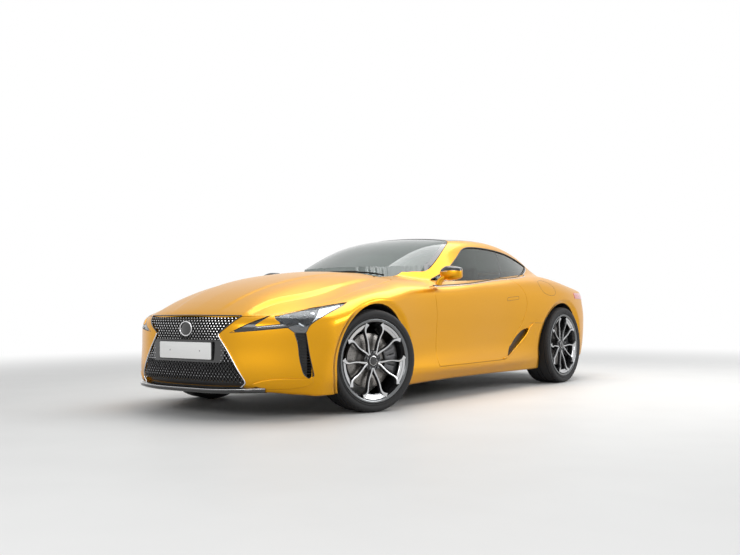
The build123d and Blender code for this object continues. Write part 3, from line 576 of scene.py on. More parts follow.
def finish(name, color, rough, metallic=0.0, vary=0.06, scale=40.0, bump=0.0, coat=0.0, sheen=0.0,
           rough_vary=0.05, stretch=(1, 1, 1), detail=4.0, specular=0.5, transmission=0.0, ior=1.5):
    """A procedural material: its colour, roughness and bump vary with noise fixed to the piece."""
    material = bpy.data.materials.new(name)
    material.use_nodes = True
    tree = material.node_tree
    wire = tree.links.new
    shader = tree.nodes["Principled BSDF"]
    for socket, value in (("Metallic", metallic), ("Coat Weight", coat), ("Coat Roughness", 0.02),
                          ("Specular IOR Level", specular), ("Transmission Weight", transmission), ("IOR", ior),
                          ("Sheen Weight", sheen)):
        shader.inputs[socket].default_value = value
    mapping = node(tree, "Mapping", {"Scale": stretch})
    noise = node(tree, "TexNoise", {"Scale": scale, "Detail": detail})
    wire(node(tree, "TexCoord").outputs["Object"], mapping.inputs["Vector"])
    wire(mapping.outputs["Vector"], noise.inputs["Vector"])
    colors = node(tree, "ValToRGB")
    for stop, place, share in zip(colors.color_ramp.elements, (0.3, 0.7), (1 - vary, 1 + vary)):
        stop.position, stop.color = place, (*(min(c * share, 1) for c in color), 1)
    wire(noise.outputs["Fac"], colors.inputs["Fac"])
    wire(colors.outputs["Color"], shader.inputs["Base Color"])
    spread = node(tree, "MapRange", {"To Min": max(rough - rough_vary, 0.01), "To Max": rough + rough_vary})
    wire(noise.outputs["Fac"], spread.inputs["Value"])
    wire(spread.outputs["Result"], shader.inputs["Roughness"])
    if bump:
        relief = node(tree, "Bump", {"Strength": bump, "Distance": 0.001})
        wire(noise.outputs["Fac"], relief.inputs["Height"])
        wire(relief.outputs["Normal"], shader.inputs["Normal"])
    return material


PAINT = finish("yellow_paint", (0.68, 0.315, 0.002), 0.33, 0.85, 0.05, 900.0, coat=0.22, rough_vary=0.03)
ROOF = finish("black_roof_paint", (0.008, 0.008, 0.01), 0.12, 0.0, 0.1, 500.0, coat=1.0, rough_vary=0.03)
GLASS = finish("tinted_glass", (0.3, 0.36, 0.33), 0.015, 0.0, 0.02, 3.0, transmission=1.0, rough_vary=0.003,
               ior=1.45)
SCREEN = finish("screen_glass", (0.26, 0.3, 0.285), 0.02, 0.0, 0.03, 3.0, transmission=0.55, rough_vary=0.004,
                ior=1.45)
CLEAR = finish("lamp_cover", (0.9, 0.93, 0.95), 0.01, 0.0, 0.01, 3.0, transmission=1.0, rough_vary=0.002, specular=0.3,
               ior=1.15)
SEAL = finish("window_seal", (0.012, 0.012, 0.012), 0.45, 0.0, 0.15, 300.0, bump=0.1)
GLOSS_BLACK = finish("gloss_black", (0.01, 0.01, 0.011), 0.14, 0.0, 0.1, 400.0, coat=0.6, rough_vary=0.04)
SATIN_BLACK = finish("satin_black", (0.018, 0.018, 0.019), 0.38, 0.0, 0.15, 700.0, bump=0.15)
CHROME = finish("bright_metal", (0.8, 0.8, 0.81), 0.09, 1.0, 0.03, 200.0, rough_vary=0.04)
DARK_CHROME = finish("dark_metal", (0.16, 0.165, 0.17), 0.18, 1.0, 0.08, 200.0, rough_vary=0.05)
POLISHED = finish("polished_alloy", (0.55, 0.555, 0.565), 0.16, 1.0, 0.03, 260.0, rough_vary=0.05,
                  stretch=(1, 1, 8), bump=0.03)
WHEEL_DARK = finish("dark_wheel_paint", (0.018, 0.018, 0.02), 0.28, 0.3, 0.12, 500.0, coat=0.5)
RUBBER = finish("tyre_rubber", (0.016, 0.016, 0.017), 0.66, 0.0, 0.2, 260.0, bump=0.35, specular=0.35)
IRON = finish("brake_iron", (0.22, 0.21, 0.2), 0.34, 1.0, 0.12, 180.0, bump=0.12)
CALIPER = finish("caliper_grey", (0.1, 0.1, 0.105), 0.38, 0.5, 0.1, 300.0, coat=0.3, bump=0.1)
STEEL = finish("steel", (0.3, 0.3, 0.31), 0.32, 1.0, 0.1, 220.0, bump=0.08)
CHASSIS = finish("chassis_black", (0.022, 0.022, 0.023), 0.55, 0.1, 0.2, 160.0, bump=0.4)
CARPET = finish("cabin_carpet", (0.02, 0.02, 0.021), 0.95, 0.0, 0.35, 1400.0, bump=0.8, sheen=0.4)
LEATHER = finish("seat_leather", (0.045, 0.04, 0.038), 0.5, 0.0, 0.12, 620.0, bump=0.6, detail=8.0)
DASH = finish("dash_plastic", (0.022, 0.022, 0.023), 0.52, 0.0, 0.12, 900.0, bump=0.5)
LINING = finish("headlining", (0.1, 0.098, 0.094), 0.9, 0.0, 0.12, 1600.0, bump=0.4, sheen=0.3)
RED_LAMP = finish("red_lamp_cover", (0.52, 0.008, 0.01), 0.08, 0.0, 0.06, 30.0, transmission=0.08, coat=1.0,
                  rough_vary=0.01)
LAMP_WHITE = finish("lamp_reflector", (0.86, 0.88, 0.9), 0.12, 0.75, 0.04, 60.0, rough_vary=0.04)
LAMP_GREY = finish("lamp_smoke", (0.03, 0.032, 0.036), 0.2, 0.2, 0.1, 80.0, coat=0.3)
PLATE = finish("blank_plate", (0.88, 0.88, 0.87), 0.4, 0.0, 0.015, 120.0, coat=0.3)
MIRROR = finish("mirror_glass", (0.85, 0.86, 0.87), 0.02, 1.0, 0.01, 20.0, rough_vary=0.004)
USUAL_SLOT = {material.name: slot for slot, made in (
    ("body_paint", (PAINT,)), ("roof_black", (ROOF,)), ("tinted_glass", (GLASS, SCREEN, MIRROR)),
    ("lamp_glass", (CLEAR, LAMP_WHITE, LAMP_GREY, PLATE)), ("lamp_red", (RED_LAMP,)), ("steel", (STEEL,)),
    ("trim_black", (SEAL, GLOSS_BLACK, SATIN_BLACK, CHROME, DARK_CHROME)), ("seat_leather", (LEATHER,)),
    ("light_alloy", (WHEEL_DARK, POLISHED)), ("tyre_rubber", (RUBBER,)), ("brake_iron", (IRON, CALIPER)),
    ("underbody", (CHASSIS,)), ("cabin_plastic", (DASH,))) for material in made}

# ---------------------------------------------------------------- outlines, in metres
hood_line = outline_mm([
    (-300, -2345, 200), (300, -2345, 120), (460, -2296, 60), (655, -2175, 50), (745, -1960, 140),
    (752, -1650, 200), (752, -1300, 200), (715, -990, 50), (560, -955, 30), (0, -945, 50),
    (-300, -945, 0)])
door_line = outline_mm([
    (-664, 268, 20), (-652, 490, 200), (-664, 740, 200), (-700, 885, 30), (-600, 1000, 0),
    (620, 1060, 0), (585, 975, 30), (715, 868, 100), (752, 770, 70), (735, 670, 100),
    (655, 545, 100), (420, 295, 60), (355, 272, 30)])
belt = Line([-750, -610, -400, -110, 190, 530, 770, 950, 1240, 1430],
            [878, 882, 889, 905, 931, 959, 975, 994, 1045, 1095])
windows = outline_mm([
    (-625, 884, 12), (-240, 1006, 300), (30, 1140, 200), (215, 1236, 100), (450, 1252, 200),
    (800, 1238, 250), (1100, 1200, 250), (1455, 1108, 35), (1235, 1042, 140), (800, 975, 300),
    (190, 931, 300), (-300, 893, 300)])
split_b = Line([940, 965, 1120, 1230, 1300], [520, 552, 745, 806, 840], 1.0)
windshield_line = outline_mm([
    (-200, -888, 0), (0, -888, 100), (380, -825, 200), (570, -660, 60), (640, -430, 80),
    (611, -215, 300), (553, -5, 300), (497, 115, 30), (250, 75, 200), (0, 65, 100),
    (-200, 65, 0)])
roof_line = outline_mm([
    (-200, 70, 0), (250, 80, 200), (496, 120, 20), (487, 320, 200), (468, 700, 300),
    (458, 1000, 20), (250, 1035, 200), (0, 1045, 100), (-200, 1045, 0)])
rear_window_line = outline_mm([
    (-200, 1050, 0), (250, 1040, 200), (457, 1006, 20), (430, 1400, 300), (385, 1720, 60),
    (200, 1815, 200), (-200, 1825, 0)])
lid_line = outline_mm([
    (-300, 1855, 0), (200, 1845, 200), (430, 1790, 60), (545, 1860, 50), (585, 2050, 100),
    (560, 2220, 100), (520, 2600, 0), (-300, 2600, 0)])
grille_line = outline_mm([
    (0, 680, 100), (452, 676, 8), (398, 617, 50), (305, 557, 30), (403, 435, 100),
    (505, 268, 30), (512, 243, 12), (478, 212, 20), (0, 196, 300), (-478, 212, 20),
    (-512, 243, 12), (-505, 268, 30), (-403, 435, 100), (-305, 557, 30),
    (-398, 617, 50), (-452, 676, 8)])
lamp_line = outline_mm([  # corner view
    (93, 566, 2), (225, 632, 30), (345, 682, 20), (402, 689, 30), (582, 718, 100),
    (723, 733, 100), (985, 762, 4), (880, 728, 40), (760, 692, 60), (654, 648, 40),
    (600, 609, 20), (577, 562, 8), (503, 565, 8), (462, 597, 10),
    (285, 581, 100)], 10)
wedge_line = outline_mm([
    (246, 606, 2), (330, 669, 6), (366, 678, 6), (374, 655, 6),
    (420, 624, 4), (310, 613, 30)])
vent_line = outline_mm([
    (503, 562, 4), (577, 562, 4), (588, 490, 50), (602, 400, 60), (628, 288, 6),
    (606, 262, 20), (560, 290, 30), (532, 400, 60), (527, 490, 50)])
scoop_line = outline_mm([
    (628, 285, 10), (600, 262, 30), (450, 268, 80), (330, 262, 60), (235, 232, 10),
    (330, 205, 50), (470, 206, 50), (600, 225, 30), (640, 262, 30)])
side_vent_line = outline_mm([
    (350, 292, 4), (500, 372, 100), (600, 466, 80), (690, 520, 40), (800, 534, 12),
    (755, 468, 60), (620, 374, 60), (460, 302, 60)])
tail_lamp_line = outline_mm([
    (300, 772, 10), (300, 816, 10), (600, 838, 50), (800, 846, 20), (950, 846, 20),
    (950, 800, 10), (800, 772, 20), (600, 700, 10), (545, 700, 10), (620, 765, 20)])

# ---------------------------------------------------------------- panels
ABOVE_FLOOR = 0.004
FRONT_SPLIT = 0.9     # corner view: where the bumper meets the fender
SILL_TOP = 0.264
DECK_X = 0.362         # half the strip between the rear window and the lid
COWL_X = 0.56          # the fenders' inner edge at the foot of the windshield
FENDER_END = -0.655    # where the fender meets the door and the sill
TAIL_Y, TAIL_Z = 1.83, 0.705         # where the sides meet the rear bumper, and its upper edge
DOOR_END = 0.583       # the rear end of the door's trim at the belt


def clear_of_floor(mesh):
    return beyond(mesh, lambda x, y, z: floor_line(y) + ABOVE_FLOOR - z)


SHELL = ("body_shell", "body_shell")
DOORS = ("left_door", "right_door")


def pair(name, mesh, field, material, bodies=SHELL, replaces=((), ()), level=False, **settings):
    """The same panel on the left and the right. Bodies, and the nodes that it replaces, may differ. Level makes
    the inner face by a level shift towards the middle of the car."""
    for (label, side), m, rides, nodes in zip(SIDES, (mesh, flipped(mesh)), bodies, replaces):
        way = (-side, 0, 0) if level else None
        panel(f"{name}_{label}", m, field, material, rides, replaces=nodes, symmetric=False, inner_way=way, **settings)


def outside_door(mesh):
    """Cuts away the door, but nothing above the belt."""
    p = mesh[0]
    return clip(mesh, -np.maximum(distance(p[:, 1:], door_line) - GAP, p[:, 2] - belt(p[:, 1]) - 0.002))


hood = inside(top_fan(body, 0.8, -2.4, -0.93, step=0.0115), "top", hood_line, -GAP)
hood = beyond(hood, lambda x, y, z: 0.6 - z)
panel("hood_skin", hood, body, PAINT, "hood_lid", depth=0.009, inner=SATIN_BLACK, replaces=("hood",))

nose = nose_fan(body, NOSE_Y, 0, 100, 0.12, 0.82)
nose = clear_of_floor(nose)
nose = outside(nose, "top", hood_line, GAP)
nose = outside(nose, "front", grille_line, 0.001)
nose = outside_corner(nose, lamp_line, 0.0015)
nose = outside_corner(nose, vent_line, 0.0015)
bumper = clip(nose, corner_view(nose[0])[:, 0] - FRONT_SPLIT)
bumper = outside_arch(bumper, FRONT_Y)
panel("bumper_skin", bumper, body, PAINT, depth=0.03, inner=SATIN_BLACK, replaces=("front_bumper",), roll=0.0008)

flank = side_fan(whole, -1.93, -0.55, -35, 86)
flank = clear_of_floor(outside(flank, "top", hood_line, GAP))
flank = outside_corner(flank, lamp_line, 0.0015)
flank = outside_arch(flank, FRONT_Y)
flank = outside_door(flank)
flank = outside(flank, "top", windshield_line, 0.004)
fender = clip(flank, FRONT_SPLIT - corner_view(flank[0])[:, 0])
fender = beyond(fender, lambda x, y, z: SILL_TOP + GAP / 2 - z)
fender = beyond(fender, lambda x, y, z: y - FENDER_END)
fender = beyond(fender, lambda x, y, z: COWL_X + GAP - np.abs(x))
pair("fender_skin", fender, whole, PAINT, depth=0.02, inner=SATIN_BLACK, replaces=("front_fenders", None),
     roll=0.0008)

door = side_fan(whole, -0.78, 0.8, -32, 62)
door = inside(door, "side", door_line, -GAP)
door = beyond(door, lambda x, y, z: z - belt(y) + 0.004)
pair("door_skin", door, whole, PAINT, DOORS, depth=0.11, level=True, inner=DASH, replaces=("door_left", "door_right"))

side = side_fan(whole, -1.1, 2.42, -35, 84)
side = clear_of_floor(side)
side = outside_door(side)
side = outside(side, "side", windows, 0.002)
side = outside(side, "side", side_vent_line, 0.0)
for view_line in (windshield_line, roof_line, rear_window_line):
    side = outside(side, "top", view_line, 0.003)
side = outside(side, "top", lid_line, GAP)
side = outside_arch(outside_arch(side, REAR_Y), FRONT_Y)
side = beyond(side, lambda x, y, z: DECK_X + 0.0003 - np.abs(x))
side = beyond(side, lambda x, y, z: np.where(z > SILL_TOP - GAP / 2, FENDER_END - y, -1.0))
quarter = beyond(side, lambda x, y, z: np.minimum(y - TAIL_Y, TAIL_Z - z))
pair("side_skin", quarter, whole, PAINT, depth=0.03, inner=SATIN_BLACK,
     replaces=("side_frame_left", "side_frame_right"))

# the shoulder between the belt line and the foot of the side windows
shelf = inside(side_fan(body, -0.72, 1.5, 0, 84, step=0.012), "side", windows, 0.006)
shelf = clip(shelf, -house(shelf[0]) - 0.012)
pair("door_shoulder", beyond(shelf, lambda x, y, z: y - DOOR_END), body, PAINT, DOORS, depth=0.008, roll=0.001)
pair("quarter_shoulder", beyond(shelf, lambda x, y, z: 0.588 - y), body, PAINT, depth=0.008, roll=0.001)

windshield = inside(top_fan(house, 0.7, -0.95, 0.15), "top", windshield_line, -0.002)
panel("windshield_glass", windshield, house, SCREEN, depth=0.005, lift=-0.004, replaces=("windshield",), roll=0.001)
roof = inside(top_fan(house, 0.52, 0.02, 1.08), "top", roof_line, -0.0015)
panel("roof_skin", roof, house, ROOF, depth=0.03, inner=LINING, replaces=("roof_panel",))
back_glass = inside(top_fan(whole, 0.5, 0.98, 1.86), "top", rear_window_line, -0.002)
panel("rear_glass", back_glass, whole, SCREEN, depth=0.005, lift=-0.004, replaces=("rear_window",), roll=0.001)

panes = inside(side_fan(house, -0.75, 1.55, 20, 80), "side", windows, -0.001)
panes = beyond(panes, lambda x, y, z: 0.86 - z)
pane = beyond(panes, lambda x, y, z: y - split_b(z) + 0.006)
pair("door_pane", pane, house, GLASS, DOORS, depth=0.004, lift=-0.006, roll=0.0008,
     replaces=("door_glass_left", "door_glass_right"))
pane = beyond(panes, lambda x, y, z: split_b(z) + 0.006 - y)
pair("quarter_pane", pane, house, GLASS, depth=0.004, lift=-0.006, roll=0.0008, replaces=("quarter_glass", None))


# ---------------------------------------------------------------- shapes along paths
def dense(points, step=0.02, closed=False):
    """Points spaced evenly along a path, its corners kept."""
    pts = np.asarray(points, float)
    if closed:
        pts = np.vstack([pts, pts[:1]])
    out = []
    for a, b in zip(pts, pts[1:]):
        count = max(1, int(np.linalg.norm(b - a) / step))
        out += [a + (b - a) * k / count for k in range(count)]
    if not closed:
        out.append(pts[-1])
    return np.array(out)


def onto(usual, place, way):
    """A function that casts rows of two coordinates onto a surface, with rays from a place that go one way."""
    def send(points, field=usual):
        a, b = np.asarray(points, float).T
        # the first column only gives single numbers its length
        return cast(field, *(columns(a, *of(a, b))[:, 1:] for of in (place, way)))
    return send


on_side = onto(whole, lambda y, z: (0.3, y, z), lambda y, z: (1, 0, 0))
on_front = onto(body, lambda x, z: (x, NOSE_Y, z), lambda x, z: (0, -1, 0))
on_rear = onto(body, lambda x, z: (x, 1.6, z), lambda x, z: (0, 1, 0))
on_top = onto(whole, lambda x, y: (x, y, 0.5), lambda x, y: (0, 0, 1))
on_corner = onto(body, lambda a, z: (CORNER_X, NOSE_Y, z),
                 lambda a, z: (np.sin(a / CORNER_R), -np.cos(a / CORNER_R), 0))


def tube_faces(spans, rows, sides):
    """The quads between rings of vertices, the last of which may meet the first."""
    faces = []
    for i in range(spans):
        k = (i + 1) % rows
        for j in range(sides):
            m = (j + 1) % sides
            faces.append((i * sides + j, i * sides + m, k * sides + m, k * sides + j))
    return faces


def bar(path, normal, width, height, closed=False, sides=10, lift=0.0, taper=None):
    """A rounded bar along a path: width across it, height along its normals."""
    path = np.asarray(path, float)
    count = len(path)
    normal = np.tile(np.asarray(normal, float), (count, 1)) if np.ndim(normal) == 1 else np.asarray(normal)
    tangent = np.roll(path, -1, 0) - np.roll(path, 1, 0) if closed else np.gradient(path, axis=0)
    tangent = unit(tangent)
    across = unit(np.cross(tangent, normal))
    up = np.cross(across, tangent)
    size = np.ones(count) if taper is None else np.asarray(taper)
    turn = around(sides) + math.pi / sides
    c, s = np.cos(turn), np.sin(turn)
    c, s = np.sign(c) * np.abs(c) ** 0.55, np.sign(s) * np.abs(s) ** 0.55
    centre = path + up * lift
    verts = (centre[:, None] + across[:, None] * (c[None, :, None] * width / 2) * size[:, None, None]
             + up[:, None] * (s[None, :, None] * height / 2) * size[:, None, None]).reshape(-1, 3)
    faces = tube_faces(count if closed else count - 1, count, sides)
    if not closed:
        faces.append(tuple(range(sides - 1, -1, -1)))
        faces.append(tuple(range((count - 1) * sides, count * sides)))
    return verts, faces


def along(path, width, height, field=None, closed=False, lift=0.0, sides=10, taper=None):
    """A bar that lies on a surface."""
    return bar(path, normals(field or whole, np.asarray(path)), width, height, closed, sides, lift, taper)


def ring(profile, count, wave=None, u0=0.0):
    """A (u, radius) outline turned round a wheel's axis, in the wheel's own frame."""
    profile = np.asarray(profile, float)
    turn = around(count)
    u = np.tile(profile[:, 0] + u0, (count, 1))
    r = np.tile(profile[:, 1], (count, 1))
    if wave is not None:
        r = r - wave(np.arange(count)[:, None], profile[None, :, 0])
    verts = columns(u, r * np.cos(turn)[:, None], r * np.sin(turn)[:, None]).reshape(-1, 3)
    return verts, tube_faces(count, count, len(profile))


def strip(rows, capped=False):
    """Quads between rows of points: rows is (rows, columns, 3). Capped closes both ends of closed rows."""
    rows = np.asarray(rows, float)
    n, m = rows.shape[:2]
    faces = grid_faces(n, m)
    if capped:
        faces += [tuple(range(m - 1)), tuple(range((n - 1) * m, n * m - 1))]
    return rows.reshape(-1, 3), faces


def block(low, high):
    """A plain box between two corners."""
    v = np.array([[(low, high)[i][0], (low, high)[j][1], (low, high)[k][2]]
                  for i in (0, 1) for j in (0, 1) for k in (0, 1)])
    return v, [(0, 1, 3, 2), (4, 6, 7, 5), (0, 4, 5, 1), (2, 3, 7, 6), (0, 2, 6, 4), (1, 5, 7, 3)]


def outward(obj):
    """Makes the face directions of a finished closed mesh agree."""
    work = bmesh.new()
    work.from_mesh(obj.data)
    bmesh.ops.recalc_face_normals(work, faces=work.faces)
    work.to_mesh(obj.data)
    work.free()


def add_piece(name, mesh, material, rides="body_shell", slot=None, replaces=(), smooth=True, slots=None, edge=None):
    """A finished piece from a closed mesh. Edges sharper than the angle given, if any, stay crisp."""
    obj = mesh_object(name, *mesh, smooth, None, slots, material if isinstance(material, list) else [material])
    outward(obj)
    if edge:
        sharpen(obj, edge)
    return seated(obj, rides, slot, replaces)


def sharpen(obj, degrees):
    """Marks the edges sharper than an angle, so that they stay crisp under smooth shading."""
    work = bmesh.new()
    work.from_mesh(obj.data)
    limit = math.radians(degrees)
    for edge in work.edges:
        edge.smooth = len(edge.link_faces) == 2 and edge.calc_face_angle(0) < limit
    work.to_mesh(obj.data)
    work.free()


# ---------------------------------------------------------------- wheels, tyres and brakes
CORNERS = {
    "front_left": ("roller_front_left", 1, 0.8, FRONT_Y, 16.0, 0.1225),
    "front_right": ("roller_front_right", -1, 0.8, FRONT_Y, 16.0, 0.1225),
    "rear_left": ("roller_rear_left", 1, 0.8025, REAR_Y, 0.0, 0.1375),
    "rear_right": ("roller_rear_right", -1, 0.8025, REAR_Y, 0.0, 0.1375),
}
MIDDLE_U = 0.015       # the tyre's middle, outboard of the kingpin
RIM_R = 0.2905         # the rim's greatest radius
RIM_INSET = 0.0065     # the rim's edges, inside the tyre's walls
TREAD_R = 0.3545       # at the tyre's middle
SPOKE_R = [0.05, 0.075, 0.1, 0.13, 0.165, 0.2, 0.225, 0.245, 0.262]
SPOKE_TURN = [5.5, 9.0, 13.0, 16.0, 16.6, 15.6, 16.2, 18.8, 22.5]
SPOKE_WIDTH = [0.01, 0.011, 0.0105, 0.0092, 0.0085, 0.0092, 0.012, 0.0185, 0.029]
SPOKE_DROP = [0.03, 0.028, 0.0255, 0.0225, 0.018, 0.0135, 0.01, 0.0065, 0.004]


def on_corner_body(mesh, side, x, y, turn):
    """Moves a mesh from a wheel's own frame (outboard, rearward, up from the kingpin) to the car."""
    a = math.radians(turn)
    out = np.array([side * math.cos(a), -side * math.sin(a), 0])
    back = np.array([math.sin(a), math.cos(a), 0])
    verts, faces = mesh
    place = np.array([side * x, y, WHEEL_Z]) + verts[:, :1] * out + verts[:, 1:2] * back
    place = place + verts[:, 2:] * np.array([0, 0, 1.0])
    return place, faces


def tyre_mesh(half):
    """A tyre with shoulder blocks, rim protector and round-the-tyre grooves."""
    wall = [(0.0185, 0.2775), (0.0128, 0.2915), (0.01, 0.2945), (0.0055, 0.2985), (0.0012, 0.3022),
            (0.0012, 0.3052), (0.0045, 0.308), (0.003, 0.313), (0.001, 0.32), (0.0, 0.327),
            (0.0012, 0.3345), (0.0042, 0.3412), (0.0085, 0.3462), (0.014, 0.35), (0.02, 0.3522),
            (0.027, 0.3536), (0.034, 0.3542)]
    grooves = []
    for at in (half - 0.038, 0.021):
        grooves += [(at + 0.0052, 0), (at + 0.004, 0.006), (at - 0.004, 0.006), (at - 0.0052, 0)]
    right = [(half - e, r) for e, r in wall] + [(u, TREAD_R + 0.0005 * (1 - u / half) - d) for u, d in grooves]
    left = [(-u, r) for u, r in reversed(right)]
    inner = [(-half + 0.03, 0.2775), (half - 0.03, 0.2775)]

    def blocks(step, u):
        reach = np.abs(u)
        slant = (reach * 260).astype(int)
        shoulder = (reach > half - 0.0345) & (reach < half - 0.0075)
        rib = (reach < half - 0.044) & (reach > 0.027)
        slot = ((step + slant) % 6 < 2) & shoulder
        cut = ((step + 3 + slant) % 12 < 2) & rib
        return np.where(slot, 0.0052, 0.0) + np.where(cut, 0.004, 0.0)

    return ring(right + left + inner, 384, wave=blocks, u0=MIDDLE_U)


def spoke_meshes(outer_u):
    """Polished faces and dark flanks of the five double spokes."""
    bright, dark = [], []
    t = np.linspace(0, 1, 25)
    knots = np.linspace(0, 1, len(SPOKE_R))
    r = natural(knots, SPOKE_R, t)
    turn, width, drop = (natural(knots, v, t) for v in (SPOKE_TURN, SPOKE_WIDTH, SPOKE_DROP))
    for pair_index in range(5):
        middle = 270 + 72 * pair_index
        for way in (-1, 1):
            angle = np.radians(middle + way * turn)
            centre = columns(outer_u - drop, r * np.cos(angle), r * np.sin(angle))
            tangent = np.gradient(centre, axis=0)
            tangent[:, 0] = 0
            tangent = unit(tangent)
            across = columns(0, -tangent[:, 2], tangent[:, 1]) * way
            out = np.array([1.0, 0, 0])
            w = width[:, None] / 2
            # the face leans a little towards the inside of the pair
            edge_in, edge_out = centre - across * w, centre + across * w + out * 0.0012
            shoulder_in, shoulder_out = (centre + s * across * (w + 0.0042) - out * 0.006 for s in (-1, 1))
            foot_in, foot_out = (centre + s * across * (w + 0.005) - out * 0.0235 for s in (-1, 1))
            bright.append(strip(np.stack([edge_in, centre + out * 0.0013, edge_out], 1)))
            dark.append(strip(np.stack([edge_out, shoulder_out, foot_out, foot_in, shoulder_in, edge_in], 1)))
        # polished web inside the pair, at the rim
        spread = np.radians(np.linspace(-1, 1, 13))
        rows = []
        for radius, reach, sink in ((0.23, 13.5, 0.023), (0.2325, 13.8, 0.018), (0.248, 16.2, 0.0135),
                                    (0.249, 16.4, 0.0105), (0.256, 18.6, 0.008), (0.264, 21.5, 0.005)):
            a = math.radians(middle) + spread * reach
            rows.append(columns(outer_u - sink, radius * np.cos(a), radius * np.sin(a)))
        bright.append(strip(rows))
        back = [row - np.array([0.012, 0, 0]) for row in rows]
        dark.append(strip([rows[0], back[0], back[-1], rows[-1]]))
    return joined(bright), joined(dark)


def hub_meshes(outer_u):
    """The dark hub, its centre cap, and the lug nuts."""
    face = outer_u - 0.03
    hub = ring([(0.0585, 0.031), (0.0585, 0.0735), (face - 0.014, 0.074), (face - 0.004, 0.0715),
                (face, 0.066), (face, 0.05), (face - 0.004, 0.046), (face - 0.004, 0.034),
                (face, 0.0325), (face + 0.002, 0.031)], 96)
    cap = ring([(face - 0.006, 0.0004), (face - 0.006, 0.0302), (face + 0.005, 0.0302), (face + 0.0072, 0.0285),
                (face + 0.0078, 0.024), (face + 0.0092, 0.012), (face + 0.0096, 0.0004)], 64)
    band = ring([(face - 0.002, 0.0303), (face - 0.002, 0.0326), (face + 0.0068, 0.0322), (face + 0.0074, 0.0303)],
                64)
    lugs = []
    for k in range(5):
        a = math.radians(306 + 72 * k)
        y, z = 0.0572 * math.cos(a), 0.0572 * math.sin(a)
        for radius, low, high, count in ((0.0125, face - 0.006, face + 0.0015, 20), (0.0098, face, face + 0.015, 6)):
            turn = around(count)
            rows = [columns(u, y + radius * scale * np.cos(turn), z + radius * scale * np.sin(turn))
                    for u, scale in ((low, 1), (high - 0.002, 1), (high, 0.86), (high, 0.02))]
            lugs.append(strip([np.vstack([row, row[:1]]) for row in rows]))
    return hub, cap, band, joined(lugs)


def disc_mesh():
    return ring([(0.0305, 0.031), (0.0305, 0.085), (0.0305, 0.108), (0.0305, 0.1885), (0.0315, 0.1898),
                 (0.0385, 0.1898), (0.0395, 0.184), (0.0485, 0.184), (0.0495, 0.1898), (0.0568, 0.1898),
                 (0.0578, 0.1885), (0.0578, 0.112), (0.056, 0.108), (0.0575, 0.085), (0.0582, 0.08),
                 (0.0582, 0.031)], 128)


def hole_shade_mesh():
    """Dark dots in rows on the disc's outer face: painted shade standing in for the insides of drilled holes."""
    marks = []
    for k in range(36):
        for n, radius in enumerate((0.128, 0.146, 0.164, 0.178)):
            a = math.radians(10 * k + 2.6 * n)
            y, z = radius * math.cos(a), radius * math.sin(a)
            turn = around(9, True)
            rows = [columns(u, y + q * np.cos(turn), z + q * np.sin(turn))
                    for u, q in ((0.057, 0.0029), (0.058, 0.0029), (0.058, 0.0002))]
            marks.append(strip(rows))
    return joined(marks)


def caliper_mesh():
    """A brake caliper's outer cover, behind the axle, with rounded corners and two pads' ribs."""
    rows = []
    for degrees, grow in zip(np.linspace(-31, 31, 33), 1 - np.abs(np.linspace(-1, 1, 33)) ** 10 * 0.16):
        a = math.radians(degrees)
        rib = 0.0022 if abs(degrees) % 14 > 9 else 0.0
        mid = 0.176
        outline = [(0.0605, 0.122), (0.0735, 0.123), (0.0772, 0.128), (0.0782 - rib, 0.14), (0.0782 - rib, 0.205),
                   (0.0772, 0.222), (0.073, 0.2315), (0.064, 0.2345), (0.044, 0.235), (0.024, 0.2345),
                   (0.0105, 0.233), (0.01, 0.232), (0.06, 0.2318)]
        rows.append([(u, (mid + (r - mid) * grow) * math.cos(a), (mid + (r - mid) * grow) * math.sin(a))
                     for u, r in outline + outline[:1]])
    return strip(rows, capped=True)


for name, (wheel_body, side, x, y, turn, half) in CORNERS.items():
    outer = MIDDLE_U + half - RIM_INSET
    inner = MIDDLE_U - half + RIM_INSET

    def made(label, mesh, material, slot=None, replaces=(), who=wheel_body, edge=None):
        place = on_corner_body(mesh, side, x, y, turn)
        add_piece(f"{label}_{name}", place, material, who, slot, replaces, edge=edge)

    made("tyre_tread", tyre_mesh(half), RUBBER, replaces=(f"tyre_{name}",), edge=40)
    lip = ring([(outer - 0.011, 0.2745), (outer - 0.006, 0.2765), (outer - 0.0058, 0.286), (outer - 0.0046, 0.2895),
                (outer - 0.0024, RIM_R), (outer - 0.0006, 0.2895), (outer, 0.287), (outer - 0.0004, 0.28),
                (outer - 0.0025, 0.2745), (outer - 0.0055, 0.2705), (outer - 0.0095, 0.2685)], 160)
    made("rim_lip", lip, DARK_CHROME, "light_alloy", edge=60)
    barrel = ring([(outer - 0.0105, 0.275), (inner + 0.008, 0.2755), (inner + 0.006, 0.287), (inner + 0.0015, RIM_R),
                   (inner, 0.289), (inner, 0.262), (inner + 0.02, 0.256), (outer - 0.06, 0.256),
                   (outer - 0.03, 0.26), (outer - 0.0098, 0.2683)], 120)
    made("wheel_barrel", barrel, WHEEL_DARK, replaces=(f"wheel_{name}",), edge=50)
    bright, dark = spoke_meshes(outer)
    made("spoke_faces", bright, POLISHED, edge=50)
    made("spoke_flanks", dark, WHEEL_DARK, edge=40)
    hub, cap, band, lugs = hub_meshes(outer)
    made("wheel_hub", hub, WHEEL_DARK, edge=40)
    made("centre_cap", cap, GLOSS_BLACK, "light_alloy", edge=50)
    made("cap_ring", band, CHROME, "light_alloy", edge=50)
    made("lug_nuts", lugs, DARK_CHROME, "steel", edge=30)
    made("brake_disc", disc_mesh(), IRON, replaces=(f"disc_{name}",), edge=40)
    # dark dots in place of drilled holes: painted shade of the holes' insides
    made("disc_hole_shade", hole_shade_mesh(), WHEEL_DARK, "brake_iron")
    holder = "body_shell" if name.startswith("rear") else ("left_upright" if side > 0 else "right_upright")
    made("caliper_cover", caliper_mesh(), CALIPER, who=holder, edge=40)


